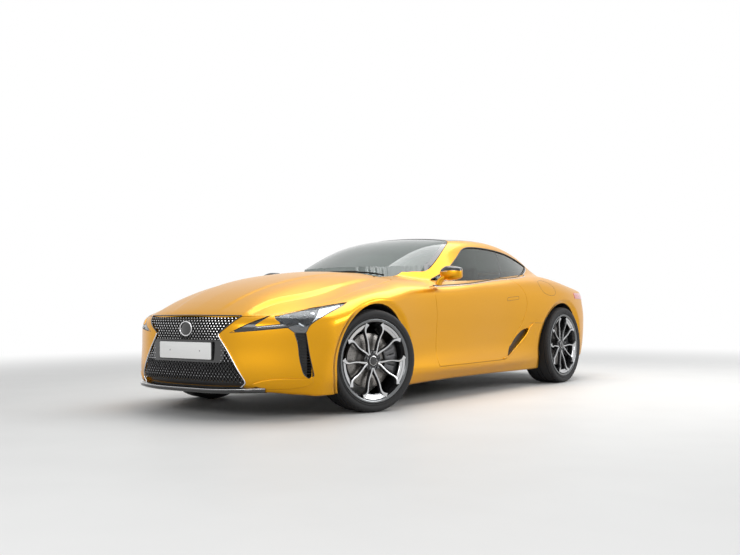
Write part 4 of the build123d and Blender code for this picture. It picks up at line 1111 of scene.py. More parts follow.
# ---------------------------------------------------------------- grille, plate and lip
def side_pair(name, mesh, material, bodies=SHELL, replaces=((), ()), **settings):
    """A finished piece and its mirror image."""
    for (label, _), m, rides, nodes in zip(SIDES, (mesh, flipped(mesh)), bodies, replaces):
        add_piece(f"{name}_{label}", m, material, rides, replaces=nodes, **settings)


def plaque(cx, cz, width, height, face_y, depth, radius, facing=-1):
    """A rounded flat plate seen from the front (facing -1) or the back."""
    half_w, half_h = width / 2, height / 2
    outline = rounded([(-half_w, -half_h), (half_w, -half_h), (half_w, half_h), (-half_w, half_h)], radius)
    rows = []
    for grow, y in ((-0.0022, face_y), (-0.0006, face_y - facing * 0.0006), (0, face_y - facing * 0.0022),
                    (0, face_y - facing * depth)):
        scale = np.array([1 + grow / half_w, 1 + grow / half_h])
        rows.append([(cx + a * scale[0], y, cz + b * scale[1]) for a, b in outline])
    count = len(outline)
    ends = [tuple(range(count)), tuple(range(3 * count, 4 * count))]
    return np.array(rows).reshape(-1, 3), tube_faces(3, 4, count) + ends


def dome(centre, normal, radius, height, count=28, ring_steps=6, sink=0.004):
    """A shallow dome on a surface."""
    normal = unit(np.asarray(normal, float))
    one = unit(np.cross(normal, (0, 0, 1.0)))
    turn = around(count + 1, True)
    circle = np.cos(turn)[:, None] * one + np.sin(turn)[:, None] * np.cross(normal, one)
    rows = [centre - normal * sink + radius * circle]
    for k in range(ring_steps + 1):
        a = k / ring_steps * math.pi / 2
        rows.append(centre + normal * height * math.sin(a) + radius * max(math.cos(a), 0.02) * circle)
    return strip(rows)


grille_face = inside(nose_fan(body, NOSE_Y, 0, 50, 0.16, 0.72, step=0.014), "front", grille_line, -0.001)
panel("grille_back", grille_face, body, SATIN_BLACK, depth=0.01, lift=-0.028, slot="grille_black",
      replaces=("grille",))

PITCH_X, PITCH_Z = 0.028, 0.0172
knots = {}
for j in range(28):
    for i in range(-20, 21):
        x, z = (i + 0.5 * (j % 2)) * PITCH_X, 0.246 + j * PITCH_Z
        if not (abs(x) < 0.335 and 0.372 < z < 0.512):   # the plate's place
            knots[(i, j)] = (x, z)
keys = list(knots)
depths = distance(np.array([knots[k] for k in keys]), grille_line)
keys = [k for k, d in zip(keys, depths) if d < -0.006]
places = dict(zip(keys, on_front([knots[k] for k in keys])))
ribs, studs = [], []
for (i, j), p in places.items():
    for k in ((i, j + 1), (i - 1, j + 1)) if j % 2 == 0 else ((i, j + 1), (i + 1, j + 1)):
        if k in places:
            ribs.append(bar([p + (0, 0.01, 0), places[k] + (0, 0.01, 0)], (0, -1, 0), 0.0036, 0.014, sides=4))
    size = 0.62 if p[2] < 0.37 else 1.0
    a, b = 0.0062 * size, 0.005 * size
    base = [p + (dx, 0.004, dz) for dx, dz in ((-a, 0), (0, -b), (a, 0), (0, b))]
    tip = p + (0, -0.003, 0.0008)
    studs.append((np.array(base + [tip]), [(0, 1, 4), (1, 2, 4), (2, 3, 4), (3, 0, 4), (3, 2, 1, 0)]))
add_piece("grille_lattice", joined(ribs), GLOSS_BLACK, slot="grille_black", smooth=False)
add_piece("grille_studs", joined(studs), CHROME, slot="grille_black", smooth=False)

low_edge = [tuple(p) for p in grille_line if p[1] < 0.56]
frame_path = on_front(dense(low_edge, 0.012))
add_piece("grille_frame", along(frame_path, 0.0075, 0.012, body, lift=0.002), CHROME, slot="grille_black")
top_edge = [tuple(p) for p in np.roll(grille_line, -len(grille_line) // 2, 0) if p[1] >= 0.56]
add_piece("grille_top_frame", along(on_front(dense(top_edge, 0.012)), 0.007, 0.01, body), GLOSS_BLACK,
          slot="grille_black")

surround = outline_mm([(-345, 372), (345, 372), (365, 512), (-365, 512)], 20)
surround_face = inside(nose_fan(body, NOSE_Y, 0, 40, 0.3, 0.6, step=0.014), "front", surround)
panel("plate_surround", surround_face, body, GLOSS_BLACK, depth=0.03, lift=-0.002, slot="grille_black", roll=0.004)
PLATE_Z = {"front": 0.445, "rear": 0.56}
PLATE_SIZE, HOLDER_SIZE = (0.52, 0.112), (0.532, 0.124)
PLATE_Y = -2.392       # the front plate's face
add_piece("plate_holder", plaque(0, PLATE_Z["front"], *HOLDER_SIZE, PLATE_Y + 0.0025, 0.016, 0.01), SATIN_BLACK)
plate = plaque(0, PLATE_Z["front"], *PLATE_SIZE, PLATE_Y, 0.0035, 0.009)
add_piece("front_plate", plate, PLATE, edge=50)
bolts = [dome(np.array([x, PLATE_Y - 0.0002, PLATE_Z["front"]]), (0, -1, 0), 0.0055, 0.0022, 16, 3)
         for x in (-0.15, 0.15)]
add_piece("plate_screws", joined(bolts), STEEL)

badge = on_front([(0, 0.59)])[0]
add_piece("badge_field", dome(badge + (0, 0.004, 0), (0, -1, 0.08), 0.055, 0.009, 40), GLOSS_BLACK,
          slot="grille_black", edge=60)
turn = around(48)
rim_path = columns(0.058 * np.cos(turn), badge[1] - 0.001, 0.59 + 0.047 * np.sin(turn))
add_piece("badge_ring", bar(rim_path, (0, -1, 0.08), 0.0075, 0.01, True), CHROME, slot="grille_black")

lip_rows, lip_line = [], []
for x in np.linspace(-0.62, 0.62, 63):
    s = on_front([(x, 0.215)])[0]
    n = normals(body, s[None])[0]
    n = np.array([n[0], n[1], 0]) / math.hypot(n[0], n[1])
    f = 1 - 0.8 * float(ramp(abs(x), 0.47, 0.62))
    low = 0.01 * float(ramp(abs(x), 0.2, 0.62))
    shape = [(-0.012, 0.212), (0.012, 0.207), (0.036, 0.199), (0.046, 0.19), (0.044, 0.178), (0.03, 0.17),
             (-0.06, 0.163), (-0.06, 0.205)]
    lip_rows.append([s + n * a * (f if a > 0 else 1) + (0, 0, z + low - s[2]) for a, z in shape])
    lip_line.append(s + n * 0.0405 * f + (0, 0, 0.1965 + low - s[2]))
lip = strip([row + row[:1] for row in lip_rows], capped=True)
add_piece("front_lip", lip, GLOSS_BLACK, edge=50)
add_piece("lip_line", bar(lip_line, (0, -0.5, 0.85), 0.0045, 0.004), CHROME)

# ---------------------------------------------------------------- headlamps, corner vents and scoops
LAMP_PARTS = (  # depth, lift and edge roll, then the outline in the corner view and its easing in millimetres
    ("lamp_smoke", LAMP_GREY, 0.01, -0.0028, 0.001, [
        (384, 659), (404, 681), (454, 687), (530, 634), (436, 619)], 12),
    ("lamp_bowl", SATIN_BLACK, 0.01, -0.0034, 0.001, [
        (456, 686), (580, 709), (718, 727), (655, 668), (613, 626), (569, 607),
        (528, 631)], 10),
    ("lamp_wing", LAMP_WHITE, 0.006, -0.0022, 0.001, [
        (700, 716, 6), (930, 749.5, 4), (764, 702, 50), (655, 656, 30),
        (607, 618, 4), (640, 655, 30)], 30),
    ("lamp_spark", LAMP_WHITE, 0.006, -0.002, 0.0006, [
        (522, 637), (569, 607), (560, 603), (530, 622)], 4),
    ("washer_cap", DARK_CHROME, 0.01, -0.0012, 0.001, [
        (462, 600), (503, 567), (575, 564), (597, 607), (560, 600), (530, 617)], 6),
    ("lamp_cover", CLEAR, 0.0012, 0.0006, 0.0005, [
        (384, 657), (404, 684), (580, 714), (722, 729.5), (945, 754.5), (764, 699),
        (655, 652), (603, 614), (566, 602), (433, 616)], 12),
)
corner_net = nose_fan(body, NOSE_Y, 8, 100, 0.5, 0.8, step=0.009)
lamp_bed = outside_corner(inside_corner(corner_net, lamp_line, -0.001), wedge_line, 0.0005)
pair("lamp_housing", lamp_bed, body, GLOSS_BLACK, depth=0.05, lift=-0.0045, roll=0.001, slot="lamp_glass",
     replaces=("headlamps", None))
pair("lamp_brow", inside_corner(corner_net, wedge_line, -0.0005), body, PAINT, depth=0.02)
for name, material, depth, lift, roll, points, ease in LAMP_PARTS:
    pair(name, inside_corner(corner_net, outline_mm(points, ease)), body, material, depth=depth, lift=lift, roll=roll,
         slot="lamp_glass")
turn = around(36)
oval = columns(0.548 + 0.017 * np.cos(turn), 0.5895 + 0.0095 * np.sin(turn))
side_pair("washer_seam", along(on_corner(oval), 0.0016, 0.0016, body, True, lift=-0.0006), SEAL, slot="lamp_glass")
for k, (a, z, radius) in enumerate(((0.512, 0.661, 0.013), (0.572, 0.676, 0.014), (0.634, 0.691, 0.015))):
    p = on_corner([(a, z)])[0]
    n = normals(body, p[None])[0]
    side_pair(f"lamp_lens_{k}", dome(p - n * 0.003, n, radius, 0.0022, 28, 5, 0.002),
              LAMP_WHITE if k == 2 else LAMP_GREY, slot="lamp_glass")
    level = np.cross(n, (0, 0, 1.0))
    ring_path = [p - n * 0.0022 + radius * 1.12 * (math.cos(t) * level + math.sin(t) * np.cross(n, level))
                 for t in turn]
    side_pair(f"lamp_bezel_{k}", bar(ring_path, n, 0.0024, 0.003, True), DARK_CHROME, slot="lamp_glass")
for name, material, width, lift, points in (
        ("arrow_line", CHROME, 0.003, -0.002, [(0.262, 0.6), (0.34, 0.607), (0.44, 0.617)]),
        ("arrow_lamp", LAMP_GREY, 0.009, -0.0026, [(0.24, 0.588), (0.3, 0.592), (0.455, 0.605)])):
    path = on_corner(dense(points, 0.01))
    side_pair(name, along(path, width, 0.003, body, lift=lift), material, slot="lamp_glass")
side_pair("lamp_edge", along(on_corner(dense(lamp_line, 0.012, True)), 0.003, 0.003, body, True, lift=-0.0012), SEAL,
          slot="lamp_glass")

vent_net = nose_fan(body, NOSE_Y, 30, 60, 0.24, 0.6, step=0.01)
vent_face = inside_corner(vent_net, vent_line, -0.001)
pair("vent_back", vent_face, body, SATIN_BLACK, depth=0.01, lift=-0.028)
slats = []
for z in np.linspace(0.3, 0.54, 14):
    row = np.linspace(0.49, 0.65, 81)
    across = columns(row, z)[distance(columns(row, z), vent_line) < -0.002]
    if len(across) > 3:
        slats.append(along(on_corner(across), 0.0035, 0.022, body, lift=-0.014, sides=6))
side_pair("vent_slats", joined(slats), GLOSS_BLACK)
side_pair("vent_edge", along(on_corner(dense(vent_line, 0.012, True)), 0.005, 0.008, body, True, lift=-0.002),
          GLOSS_BLACK)
fin = on_corner(dense([(0.598, 0.252), (0.612, 0.285), (0.613, 0.335)], 0.01))
side_pair("vent_fin", along(fin, 0.006, 0.014, body, lift=-0.001, taper=np.linspace(1, 0.35, 9)[:len(fin)]), PAINT)
scoop_net = nose_fan(body, NOSE_Y, 12, 62, 0.17, 0.32, step=0.01)
pair("scoop_ledge", inside_corner(clear_of_floor(scoop_net), scoop_line), body, PAINT, lift=0.006, roll=0.0055)

# ---------------------------------------------------------------- side vent, seams and belt line
vent_skin = inside(side_fan(whole, 0.25, 0.9, -35, 20), "side", side_vent_line, -0.0005)
pair("side_vent_back", vent_skin, whole, SATIN_BLACK, depth=0.01, lift=-0.026)
blade = dense(outline_mm([
    (330, 281, 0), (460, 301, 50), (620, 373, 60), (757, 467, 60), (803, 536, 30),
    (872, 576, 0)]), 0.012)
side_pair("side_vent_blade", along(on_side(blade), 0.013, 0.014, lift=0.001,
                                   taper=1 - 0.75 * ramp(np.linspace(0, 1, len(blade)), 0.7, 1)), PAINT)
handle = outline_mm([(425, 770), (615, 786), (612, 812), (430, 800)], 12)
side_pair("handle_seam", along(on_side(dense(handle, 0.008, True)), 0.0022, 0.002, closed=True), SEAL, DOORS)
flap = outline_mm([
    (1005, 945), (1032, 853), (1125, 822), (1240, 818), (1290, 868), (1255, 935),
    (1130, 965)], 50)
side_pair("filler_seam", along(on_side(dense(flap, 0.01, True)), 0.002, 0.0018, closed=True), SEAL)
# a thin dark bar along the quarter's crease behind the side vent: painted shade in the crease, where the skin has no
# joint
crease_shade_path = dense([(0.8, 0.574), (0.9, 0.573), (1.03, 0.569)], 0.01)
side_pair("quarter_crease_shade", along(on_side(crease_shade_path), 0.002, 0.0018), SEAL)

for label, y_from, y_to, who in (("door", -0.615, DOOR_END, DOORS), ("quarter", 0.59, 1.4, SHELL)):
    ys = np.linspace(y_from, y_to, 70)
    low = on_side(columns(ys, belt(ys) - 0.001))
    side_pair(f"belt_bright_{label}", along(low, 0.0075, 0.008, lift=0.001), CHROME, who)
    high = on_side(columns(ys, belt(ys) + 0.0085))
    side_pair(f"belt_seal_{label}", along(high, 0.0125, 0.01, lift=-0.001), SEAL, who)
upper = np.array([p for p in np.roll(windows, 3, 0) if p[1] > float(belt(p[0])) + 0.012])
order = np.argsort(upper[:, 0])
upper = dense(upper[order], 0.012)
side_pair("window_frame", along(on_side(upper), 0.01, 0.01, lift=-0.002), SEAL)
heights = np.linspace(0.99, 1.232, 20)
post = on_side(columns(split_b(heights), heights), house)
side_pair("pillar_trim", along(post, 0.02, 0.008, house, lift=-0.01), GLOSS_BLACK)

# ---------------------------------------------------------------- screen border, cowl and wipers
deck = outside(outside(top_fan(whole, 0.4, 1.7, 1.92), "top", rear_window_line, 0.003), "top", lid_line, GAP)
panel("rear_deck", beyond(deck, lambda x, y, z: x - DECK_X), whole, PAINT, depth=0.02, roll=0.001)
for label, glass, field, line in (("front", windshield, house, windshield_line),
                                  ("rear", back_glass, whole, rear_window_line)):
    border = outside(glass, "top", line, -0.028)
    panel(f"{label}_border", border, field, GLOSS_BLACK, depth=0.0008, lift=-0.0028, roll=0.0003, slot="tinted_glass")
cowl = outside(top_fan(whole, 0.585, -0.97, -0.62), "top", hood_line, GAP)
cowl = outside(cowl, "top", windshield_line, -0.085)
cowl = beyond(cowl, lambda x, y, z: np.abs(x) - COWL_X)
panel("cowl_panel", cowl, whole, SATIN_BLACK, depth=0.005, lift=-0.08)

SHELF = 0.83                       # the height of the firewall's upper shelf
HINGE = (0.52, -0.968, 0.902)     # the hood's left hinge
plates = [block((-0.68, -0.8, 0.24), (0.68, -0.77, SHELF)), block((-0.56, -0.8, SHELF), (0.56, -0.77, 0.925)),
          block((-0.56, HINGE[1] - 0.03, SHELF), (0.56, -0.77, SHELF + 0.015))]
for side in (1, -1):
    for x in (0.505, 0.527):
        low, high = sorted((side * x, side * (x + 0.008)))
        plates.append(block((low, HINGE[1] - 0.014, SHELF + 0.01), (high, HINGE[1] + 0.01, HINGE[2] + 0.009)))
add_piece("firewall_plates", joined(plates), CHASSIS, replaces=("firewall",), smooth=False)
for label, side in SIDES:
    low, high = sorted((side * 0.515, side * 0.525))
    ear = block((low, HINGE[1] - 0.01, HINGE[2] - 0.008), (high, HINGE[1] + 0.008, 0.968))
    add_piece(f"hood_hinge_ear_{label}", ear, SATIN_BLACK, "hood_lid", "body_paint", smooth=False)
for label, x0, x1 in (("left", 0.5, -0.02), ("right", -0.06, -0.5)):
    xs = np.linspace(x0, x1, 26)
    line = -0.872 + 0.055 * (np.abs(xs) / 0.5) ** 2
    blade_path = on_top(columns(xs, line), house)
    add_piece(f"wiper_blade_{label}", along(blade_path, 0.006, 0.014, house, lift=0.008), SEAL)
    arm_x = np.linspace(x0 * 0.55 + x1 * 0.45, x1 + 0.03, 18)
    arm_y = -0.866 + 0.055 * (np.abs(arm_x) / 0.5) ** 2 - 0.045 * ramp(np.linspace(0, 1, 18), 0.0, 1.0)
    arm = on_top(columns(arm_x, arm_y), whole)
    add_piece(f"wiper_arm_{label}", along(arm[:-7], 0.013, 0.008, whole, lift=0.004, taper=np.linspace(0.5, 1, 11)),
              SATIN_BLACK)
    pivot = dome(arm[-1] - (0, 0, 0.082), normals(whole, arm[-1:])[0], 0.014, 0.012, 20, 4)
    add_piece(f"wiper_pivot_{label}", pivot, SATIN_BLACK)

# ---------------------------------------------------------------- mirrors
stations = [0.866, 0.882, 0.915, 0.955, 1.0, 1.03, 1.043, 1.048]
mid_y = natural(stations, [-0.572, -0.57, -0.566, -0.56, -0.552, -0.546, -0.543, -0.542], stations)
half_y = natural(stations, [0.014, 0.034, 0.054, 0.06, 0.056, 0.046, 0.034, 0.014], stations)
low_z = [0.962, 0.944, 0.93, 0.928, 0.934, 0.942, 0.95, 0.962]
high_z = [1.004, 1.024, 1.04, 1.042, 1.036, 1.029, 1.023, 1.01]
turn = around(41, True)
rows = []
for x, y, depth, low, high in zip(stations, mid_y, half_y, low_z, high_z):
    c, s = np.cos(turn), np.sin(turn)
    yy = y + depth * np.where(c > 0, np.abs(c) ** 0.35, -np.abs(c) ** 0.75)
    zz = (low + high) / 2 + (high - low) / 2 * np.sign(s) * np.abs(s) ** 0.62
    rows.append(columns(x - 0.02 * (yy - y) / 0.05, yy, zz))


def parting(x):
    """The height at which the mirror's black cap meets its painted foot."""
    return 0.998 + 0.02 * (x - 0.97)


shell_mesh = strip(rows, capped=True)
centres = [shell_mesh[0][list(face)].mean(0) for face in shell_mesh[1]]
kinds = [1 if z > parting(x) else 0 for x, _, z in centres]
side_pair("mirror_shell", shell_mesh, [PAINT, GLOSS_BLACK], DOORS, slots=kinds,
          replaces=(("mirror_left",), ("mirror_right",)))
glass_rows = []
for x, y, depth, low, high in list(zip(stations, mid_y, half_y, low_z, high_z))[1:-1]:
    zs = np.linspace(low + 0.012, high - 0.012, 9)
    glass_rows.append(columns(x - 0.02 * depth / 0.05, y + depth + 0.0012, zs))
face_mesh = strip(glass_rows)
back_mesh = (face_mesh[0] - (0, 0.004, 0), [tuple(reversed(f)) for f in face_mesh[1]])
side_pair("mirror_glass", joined([face_mesh, back_mesh]), MIRROR, DOORS)
arm_path = natural([0, 0.5, 1], np.array([(0.868, -0.6, 0.895), (0.885, -0.598, 0.93), (0.925, -0.59, 0.955)]),
                   np.linspace(0, 1, 12))
side_pair("mirror_arm", bar(arm_path, (0, -1, 0.2), 0.03, 0.06, taper=np.linspace(1.1, 0.8, 12)), PAINT, DOORS)
line = [(x, y - d * 0.99, parting(x)) for x, y, d in zip(stations, mid_y, half_y)]
side_pair("mirror_line", bar(line[1:-1], (0, -1, 0), 0.0035, 0.003), CHROME, DOORS)

# ---------------------------------------------------------------- tail: lid, bumper, lamps
lid = inside(rear_fan(whole, 0.62, 5, 130), "top", lid_line, -GAP)
lid = beyond(lid, lambda x, y, z: TAIL_Z + GAP - z)
panel("lid_skin", lid, whole, PAINT, "trunk", depth=0.01, inner=SATIN_BLACK, replaces=("trunk_lid",))
tail = clear_of_floor(nose_fan(body, 1.55, 0, 100, 0.16, 0.72, sign=1))
tail = beyond(tail, lambda x, y, z: z - TAIL_Z)
tail = beyond(tail, lambda x, y, z: TAIL_Y + GAP - y)
tail = outside_arch(tail, REAR_Y)
rear_low = outline_mm([(-720, 50), (720, 50), (700, 300), (600, 355), (-600, 355), (-700, 300)], 50)
panel("rear_bumper_skin", outside(tail, "front", rear_low, 0.0015), body, PAINT, depth=0.03, inner=SATIN_BLACK,
      replaces=("rear_bumper",))
panel("rear_diffuser", inside(tail, "front", rear_low, -0.0005), body, SATIN_BLACK, depth=0.02, lift=-0.012)
fins = []
for x in (-0.26, -0.09, 0.09, 0.26):
    path = on_rear([(x, z) for z in np.linspace(0.345, 0.275, 9)])
    fins.append(bar(path, (0, 1, 0), 0.008, 0.05, lift=-0.012))
add_piece("diffuser_fins", joined(fins), GLOSS_BLACK)
tail_face = nose_fan(whole, 1.55, 0, 80, 0.66, 0.9, sign=1, step=0.01)
lamp_face = inside(tail_face, "front", tail_lamp_line)
inner_lamp = beyond(lamp_face, lambda x, y, z: np.abs(x) - 0.545)
outer_lamp = beyond(lamp_face, lambda x, y, z: 0.55 - np.abs(x))
pair("tail_lamp_inner", inner_lamp, whole, RED_LAMP, ("trunk", "trunk"), lift=0.003)
pair("tail_lamp_outer", outer_lamp, whole, RED_LAMP, lift=0.003, replaces=("tail_lamps", None))
strip_path = on_rear([(x, 0.805) for x in np.linspace(-0.3, 0.3, 31)], whole)
add_piece("tail_bar", along(strip_path, 0.014, 0.01, lift=0.002), DARK_CHROME, "trunk")
spoiler = on_rear([(x, 0.915) for x in np.linspace(-0.5, 0.5, 41)], whole)
add_piece("lid_lip", bar(spoiler + (0, -0.004, 0.006), (0, 0.35, 0.94), 0.03, 0.016), PAINT, "trunk")
rear_y = float(on_rear([(0, PLATE_Z["rear"])])[0][1])
add_piece("rear_plate_holder", plaque(0, PLATE_Z["rear"], *HOLDER_SIZE, rear_y + 0.004, 0.03, 0.01, 1), SATIN_BLACK)
add_piece("rear_plate", plaque(0, PLATE_Z["rear"], *PLATE_SIZE, rear_y + 0.0065, 0.0035, 0.009, 1), PLATE, edge=50)
PIPE_END = 2.285
for x, label in ((0.43, "left"), (-0.43, "right")):
    tip = columns(x + 0.0445 * np.cos(around(40)), PIPE_END, 0.245 + 0.0445 * np.sin(around(40)))
    add_piece(f"exhaust_tip_{label}", bar(tip, (0, 1, 0), 0.006, 0.036, True), CHROME, slot="steel")


# ---------------------------------------------------------------- padded seats
def pad(half, radius, place, tilt=0.0, bolster=0.0, hollow=0.0, crown=0.01, seams=(), count=26):
    """A stuffed block, closed and eased all round. Its outer face (+Z of its own) is crowned or hollowed, has
    raised bolsters at both sides and stitched lines; tilt turns it about the car's X."""
    half = np.array(half, float)
    line = np.linspace(-1, 1, count)
    u, v = np.meshgrid(line, line, indexing="ij")
    one = np.ones_like(u)
    sides = [(u, v, one), (v, u, -one), (one, u, v), (-one, v, u), (v, one, u), (u, -one, v)]
    cube = np.vstack([columns(*parts).reshape(-1, 3) for parts in sides])
    faces = [tuple(k * count * count + v for v in face) for k in range(6) for face in grid_faces(count, count)]
    kept, index = np.unique(np.round(cube, 6), axis=0, return_inverse=True)
    index = np.asarray(index).ravel()
    faces = [tuple(int(index[i]) for i in face) for face in faces]
    p = kept * half
    core = np.clip(p, -(half - radius), half - radius)
    p = core + radius * unit(p - core)
    across, up = kept[:, 0], kept[:, 1]
    outer = ramp(kept[:, 2], 0.0, 1.0)
    p[:, 2] += outer * (crown * (1 - across ** 2) * (1 - up ** 2) - hollow * (1 - ramp(np.abs(across), 0.35, 0.75)))
    p[:, 2] += outer * bolster * ramp(np.abs(across), 0.55, 0.85) * (1 - ramp(np.abs(up), 0.75, 1.0))
    for axis, at in seams:
        p[:, 2] -= outer * 0.007 * np.exp(-((kept[:, axis] - at) / 0.035) ** 2)
    p[:, :2] *= 1 + 0.03 * (1 - kept[:, 2:] ** 2)
    c, s = math.cos(math.radians(tilt)), math.sin(math.radians(tilt))
    y, z = p[:, 1] * c - p[:, 2] * s, p[:, 1] * s + p[:, 2] * c
    return columns(p[:, 0], y, z) + np.array(place), faces


FIREWALL_Y, PIPE_Z = -0.74, 0.175
pipes = [pad((0.47, 0.145, 0.04), 0.03, (0, 2.06, 0.258), crown=0)]
for x in (-0.43, 0.43):
    pipes.append(bar(dense([(x, 2.12, 0.245), (x, PIPE_END - 0.012, 0.245)], 0.04), (0, 0, 1), 0.08, 0.08, sides=28))
for x in (-0.09, 0.09):
    pipes.append(bar(dense([(x, FIREWALL_Y, PIPE_Z), (x, 1.96, PIPE_Z)], 0.2), (0, 0, 1), 0.05, 0.05, sides=18))
add_piece("exhaust_pipes", joined(pipes), CHASSIS, slot="steel", replaces=("exhaust",))

add_piece("engine_cover", pad((0.255, 0.285, 0.032), 0.026, (0, -1.175, 0.826), crown=0.012,
                              seams=[(0, -0.5), (0, 0), (0, 0.5)]), DASH)

for name, low, high, material in (
        ("radiator", (-0.38, -2.13, 0.22), (0.38, -2.09, 0.655), IRON),
        ("radiator_cover", (-0.43, -2.23, 0.655), (0.43, -2.05, 0.667), DASH),
        ("undertray", (-0.48, -2.24, 0.182), (0.48, -1.8, 0.188), CHASSIS)):
    add_piece(name, block(low, high), material, slot="underbody", smooth=False)

CHAIR_X = 0.37
CHAIR_SEAMS = [(0, -0.62), (0, 0.62), (1, -0.35), (1, 0.05), (1, 0.45)]
for label, side in SIDES:
    x = side * CHAIR_X
    chair = [
        ("seat_cushion", pad((0.243, 0.265, 0.105), 0.045, (x, 0.125, 0.352), -1.5, 0.022, 0.01, 0.006, CHAIR_SEAMS)),
        ("seat_back", pad((0.238, 0.245, 0.07), 0.045, (x, 0.497, 0.655), 105.5, 0.024, 0.01, 0.006, CHAIR_SEAMS)),
        ("headrest", pad((0.128, 0.082, 0.042), 0.036, (x, 0.592, 0.992), 97.0, 0.0, 0.0, 0.008, count=16)),
        ("rear_cushion", pad((0.272, 0.096, 0.108), 0.04, (side * 0.296, 0.793, 0.362), 2.0, 0.01, 0.008, 0.006,
                             [(0, -0.6), (0, 0.6)])),
        ("rear_back", pad((0.272, 0.19, 0.028), 0.024, (side * 0.296, 0.94, 0.665), 100.5, 0.008, 0.004, 0.004,
                          [(0, -0.6), (0, 0.6), (1, 0.3)])),
    ]
    for name, mesh in chair:
        nodes = {"seat_cushion": ("front_seats",), "rear_cushion": ("rear_seat",)}.get(name, ()) if side > 0 else ()
        obj = add_piece(f"{name}_{label}", mesh, LEATHER, replaces=nodes)
    for post_x in (-0.055, 0.055):
        post = dense([(x + post_x, 0.566, 0.86), (x + post_x, 0.585, 0.95)], 0.02)
        part = "inner" if post_x * side < 0 else "outer"
        add_piece(f"headrest_post_{label}_{part}", bar(post, (0, -1, 0.2), 0.01, 0.01), STEEL)
    base = plaque(x, 0.262, 0.4, 0.05, 0.4, 0.46, 0.012, 1)
    add_piece(f"seat_plinth_{label}", base, SATIN_BLACK, slot="cabin_plastic")

# ---------------------------------------------------------------- materials of the pieces that stay from the CAD
BY_SLOT = {
    "body_paint": PAINT, "roof_black": ROOF, "tinted_glass": GLASS, "lamp_glass": CLEAR, "lamp_red": RED_LAMP,
    "grille_black": GLOSS_BLACK, "trim_black": SATIN_BLACK, "underbody": CHASSIS, "chassis_metal": CHASSIS,
    "brake_iron": CALIPER, "light_alloy": WHEEL_DARK, "steel": STEEL, "tyre_rubber": RUBBER,
    "seat_leather": LEATHER, "cabin_plastic": DASH,
}
BY_NODE = {
    "floor_pan": CARPET, "dashboard": DASH, "center_console": DASH, "steering_wheel": LEATHER, "exhaust": STEEL,
    "engine_block": IRON, "firewall": CHASSIS, "rear_bulkhead": CHASSIS, "arch_liners": SATIN_BLACK,
}
node_slots = {row["node"]: row["material_slot"] for row in frame["record"]["subparts"]}
for name, obj in frame["nodes"].items():
    for place in obj.material_slots:
        place.material = BY_NODE.get(name) or BY_SLOT[node_slots[name]]

# ---------------------------------------------------------------- camera, light and floor
camera = bpy.data.objects.new("camera", bpy.data.cameras.new("camera"))
bpy.context.scene.collection.objects.link(camera)
AZIMUTH, PITCH, ROLL = 0.661, -0.033, -0.007          # radians
FOCAL_PIXELS, PHOTO_WIDTH = 885.4, 740
ahead = Vector((-math.sin(AZIMUTH) * math.cos(PITCH), math.cos(AZIMUTH) * math.cos(PITCH), -math.sin(PITCH)))
across = ahead.cross(Vector((0, 0, 1))).normalized()
upward = across.cross(ahead)
across, upward = (math.cos(ROLL) * across + math.sin(ROLL) * upward,
                  -math.sin(ROLL) * across + math.cos(ROLL) * upward)
turn = Matrix((across, upward, -ahead)).transposed()
camera.matrix_world = Matrix.Translation((4.66, -6.343, 0.729)) @ turn.to_4x4()
camera.data.sensor_width = 36.0
camera.data.lens = camera.data.sensor_width * FOCAL_PIXELS / PHOTO_WIDTH
camera.data.clip_end = 200
bpy.context.scene.camera = camera


def area_light(name, place, target, size, power):
    data = bpy.data.lights.new(name, "AREA")
    data.shape, data.size, data.size_y = "RECTANGLE", size[0], size[1]
    data.energy = power
    obj = bpy.data.objects.new(name, data)
    obj.location = place
    obj.rotation_euler = (Vector(target) - Vector(place)).to_track_quat("-Z", "Y").to_euler()
    bpy.context.scene.collection.objects.link(obj)


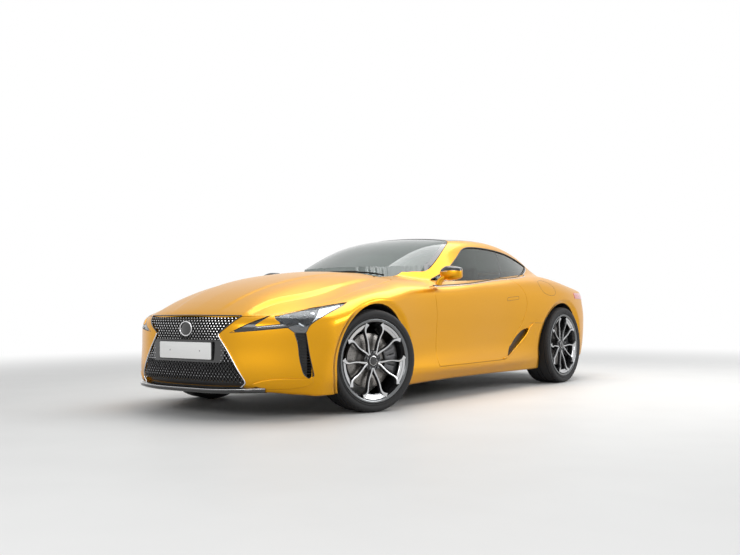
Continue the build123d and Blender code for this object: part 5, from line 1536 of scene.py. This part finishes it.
area_light("top_light", (0.5, 1.2, 5.0), (0, 0.2, 0.6), (4.0, 6.0), 260)
area_light("side_light", (6.5, 2.2, 3.2), (0.4, 0.2, 0.6), (3.5, 2.5), 170)
area_light("front_light", (2.0, -7.5, 3.0), (0, -1.5, 0.6), (5.0, 2.0), 120)


def seen_directly(tree):
    """1 for camera, mirror and glass rays, which see the pale background, and 0 for the light on the object."""
    path = node(tree, "LightPath")
    most = path.outputs["Is Camera Ray"]
    for kind in ("Is Glossy Ray", "Is Transmission Ray"):
        most = math_node(tree, "Math", "MAXIMUM", most, path.outputs[kind])
    return most


def math_node(tree, kind, operation, *values):
    made = node(tree, kind)
    made.operation = operation
    for value, socket in zip(values, made.inputs):
        tree.links.new(value, socket)
    return made.outputs["Value"]


def mixed(tree, share, one, two, end):
    """Sends a mix of two shaders to an output node."""
    blend = node(tree, "MixShader")
    for value, socket in zip((share, one, two), blend.inputs):
        tree.links.new(value, socket)
    tree.links.new(blend.outputs["Shader"], tree.nodes[end].inputs["Surface"])


world = bpy.data.worlds.new("studio")
bpy.context.scene.world = world
world.use_nodes = True
tree = world.node_tree
sky = tree.nodes["Background"]
sky.inputs["Color"].default_value = (0.8, 0.82, 0.84, 1)
sky.inputs["Strength"].default_value = 0.42
white = node(tree, "Background", {"Color": (1, 1, 1, 1)})
mixed(tree, seen_directly(tree), sky.outputs["Background"], white.outputs["Background"], "World Output")

FLOOR = finish("pale_floor", (0.72, 0.72, 0.71), 0.55, 0.0, 0.02, 2.0, rough_vary=0.05)
tree = FLOOR.node_tree
far = math_node(tree, "VectorMath", "LENGTH", node(tree, "TexCoord").outputs["Object"])
fade = node(tree, "MapRange", {"From Min": 3.2, "From Max": 9.0})
fade.interpolation_type = "SMOOTHSTEP"
tree.links.new(far, fade.inputs["Value"])
amount = math_node(tree, "Math", "MULTIPLY", fade.outputs["Result"], seen_directly(tree))
mixed(tree, amount, tree.nodes["Principled BSDF"].outputs["BSDF"], node(tree, "Emission").outputs["Emission"],
      "Material Output")
floor = mesh_object("floor", [(-60, -60, 0), (60, -60, 0), (60, 60, 0), (-60, 60, 0)], [(0, 1, 2, 3)], smooth=False,
                    materials=[FLOOR])
bpy.context.scene.view_settings.view_transform = "Standard"
